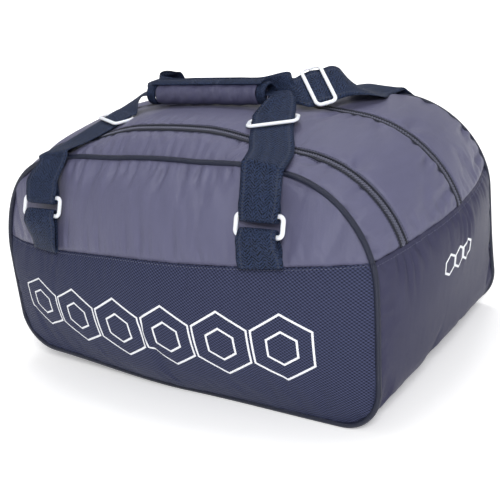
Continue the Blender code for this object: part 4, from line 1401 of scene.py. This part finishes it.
# Each row: middle, pitch, count, half width of a hexagon, half width of its line
FRONT_ROWS = [((-0.006, 0.094), 0.067, 6, radius, 0.0011) for radius in (0.0312, 0.0155)]
END_ROWS = [((-0.004, 0.150), 0.021, 3, 0.0095, 0.0012)]
PRINTED = print_rows(navy_cloth("cloth_navy_printed"), FRONT_ROWS)
MARKED = print_rows(dark_cloth("cloth_dark_marked"), END_ROWS)


# ---------------- studio


CAMERA_AZIMUTH, CAMERA_ELEVATION, CAMERA_ROLL = 0.6668, 0.3481, -0.1721
CAMERA_DISTANCE = 1.2095
CAMERA_TARGET = np.array([0, 0, 0.14])
LIGHT_TARGET = np.array([0, 0, 0.15])
CAMERA_LENS, SENSOR = 74.38, 36.0
SHIFT_RIGHT, SHIFT_UP = 0.01146, -0.05103


def stand(name, data, axes, eye):
    """Puts a camera or light at a place; the last of its three axes points away from its view."""
    made = bpy.data.objects.new(name, data)
    columns = [(*axis, 0) for axis in axes] + [(*eye, 1)]
    made.matrix_world = Matrix(columns).transposed()
    bpy.context.scene.collection.objects.link(made)
    return made


def add_camera():
    c, s = math.cos(CAMERA_AZIMUTH), math.sin(CAMERA_AZIMUTH)
    level = math.cos(CAMERA_ELEVATION)
    back = np.array([s * level, -c * level, math.sin(CAMERA_ELEVATION)])
    right = np.array([c, s, 0])
    up = np.cross(back, right)
    turned = right * math.cos(CAMERA_ROLL) + up * math.sin(CAMERA_ROLL)
    upright = -right * math.sin(CAMERA_ROLL) + up * math.cos(CAMERA_ROLL)
    data = bpy.data.cameras.new("camera")
    data.sensor_width = SENSOR
    data.lens = CAMERA_LENS
    data.shift_x, data.shift_y = SHIFT_RIGHT, SHIFT_UP
    eye = CAMERA_TARGET + back * CAMERA_DISTANCE
    bpy.context.scene.camera = stand("camera", data, (turned, upright, back), eye)


def add_area(name, place, size, power):
    """A round light that faces the middle of the case."""
    data = bpy.data.lights.new(name, "AREA")
    data.shape = "DISK"
    data.size = size
    data.energy = power
    aim = unit(np.array(place) - LIGHT_TARGET)
    side = unit(np.cross([0, 0, 1.0], aim))
    stand(name, data, (side, np.cross(aim, side), aim), place)


def add_world(fill=0.48):
    """An even fill, seen as plain white behind the case."""
    world = bpy.data.worlds.new("studio")
    world.use_nodes = True
    tree = world.node_tree
    background = tree.nodes["Background"]
    seen = tree.nodes.new("ShaderNodeLightPath").outputs["Is Camera Ray"]
    strength = tree.nodes.new("ShaderNodeMapRange")
    tree.links.new(seen, strength.inputs["Value"])
    strength.inputs["To Min"].default_value = fill
    strength.inputs["To Max"].default_value = 1.0
    tree.links.new(strength.outputs[0], background.inputs["Strength"])
    background.inputs["Color"].default_value = (1.0, 1.0, 1.0, 1.0)
    bpy.context.scene.world = world


def add_studio(reach=6.0):
    corners = [(-reach, -reach, 0), (reach, -reach, 0), (reach, reach, 0), (-reach, reach, 0)]
    add_mesh("studio_floor", corners, [(0, 1, 2, 3)], ground_finish())
    add_world()
    add_area("key", (1.5, -1.7, 1.8), 0.9, 46.0)
    add_area("top", (-0.1, 0.5, 2.3), 1.3, 24.0)
    add_area("left", (-1.9, -1.0, 1.2), 0.8, 1.5)
    bpy.context.scene.view_settings.view_transform = "Standard"


# ---------------- assembly


for side_name, side_sign in SIDES:
    add_panels(side_name, side_sign)
add_gussets()
add_ends()
add_piping()
add_zips()
add_base()
add_divider()
add_rings()
add_anchors()
add_straps()
add_adjusters()
add_grip()
add_flap()
add_sliders()
add_studio()
add_camera()
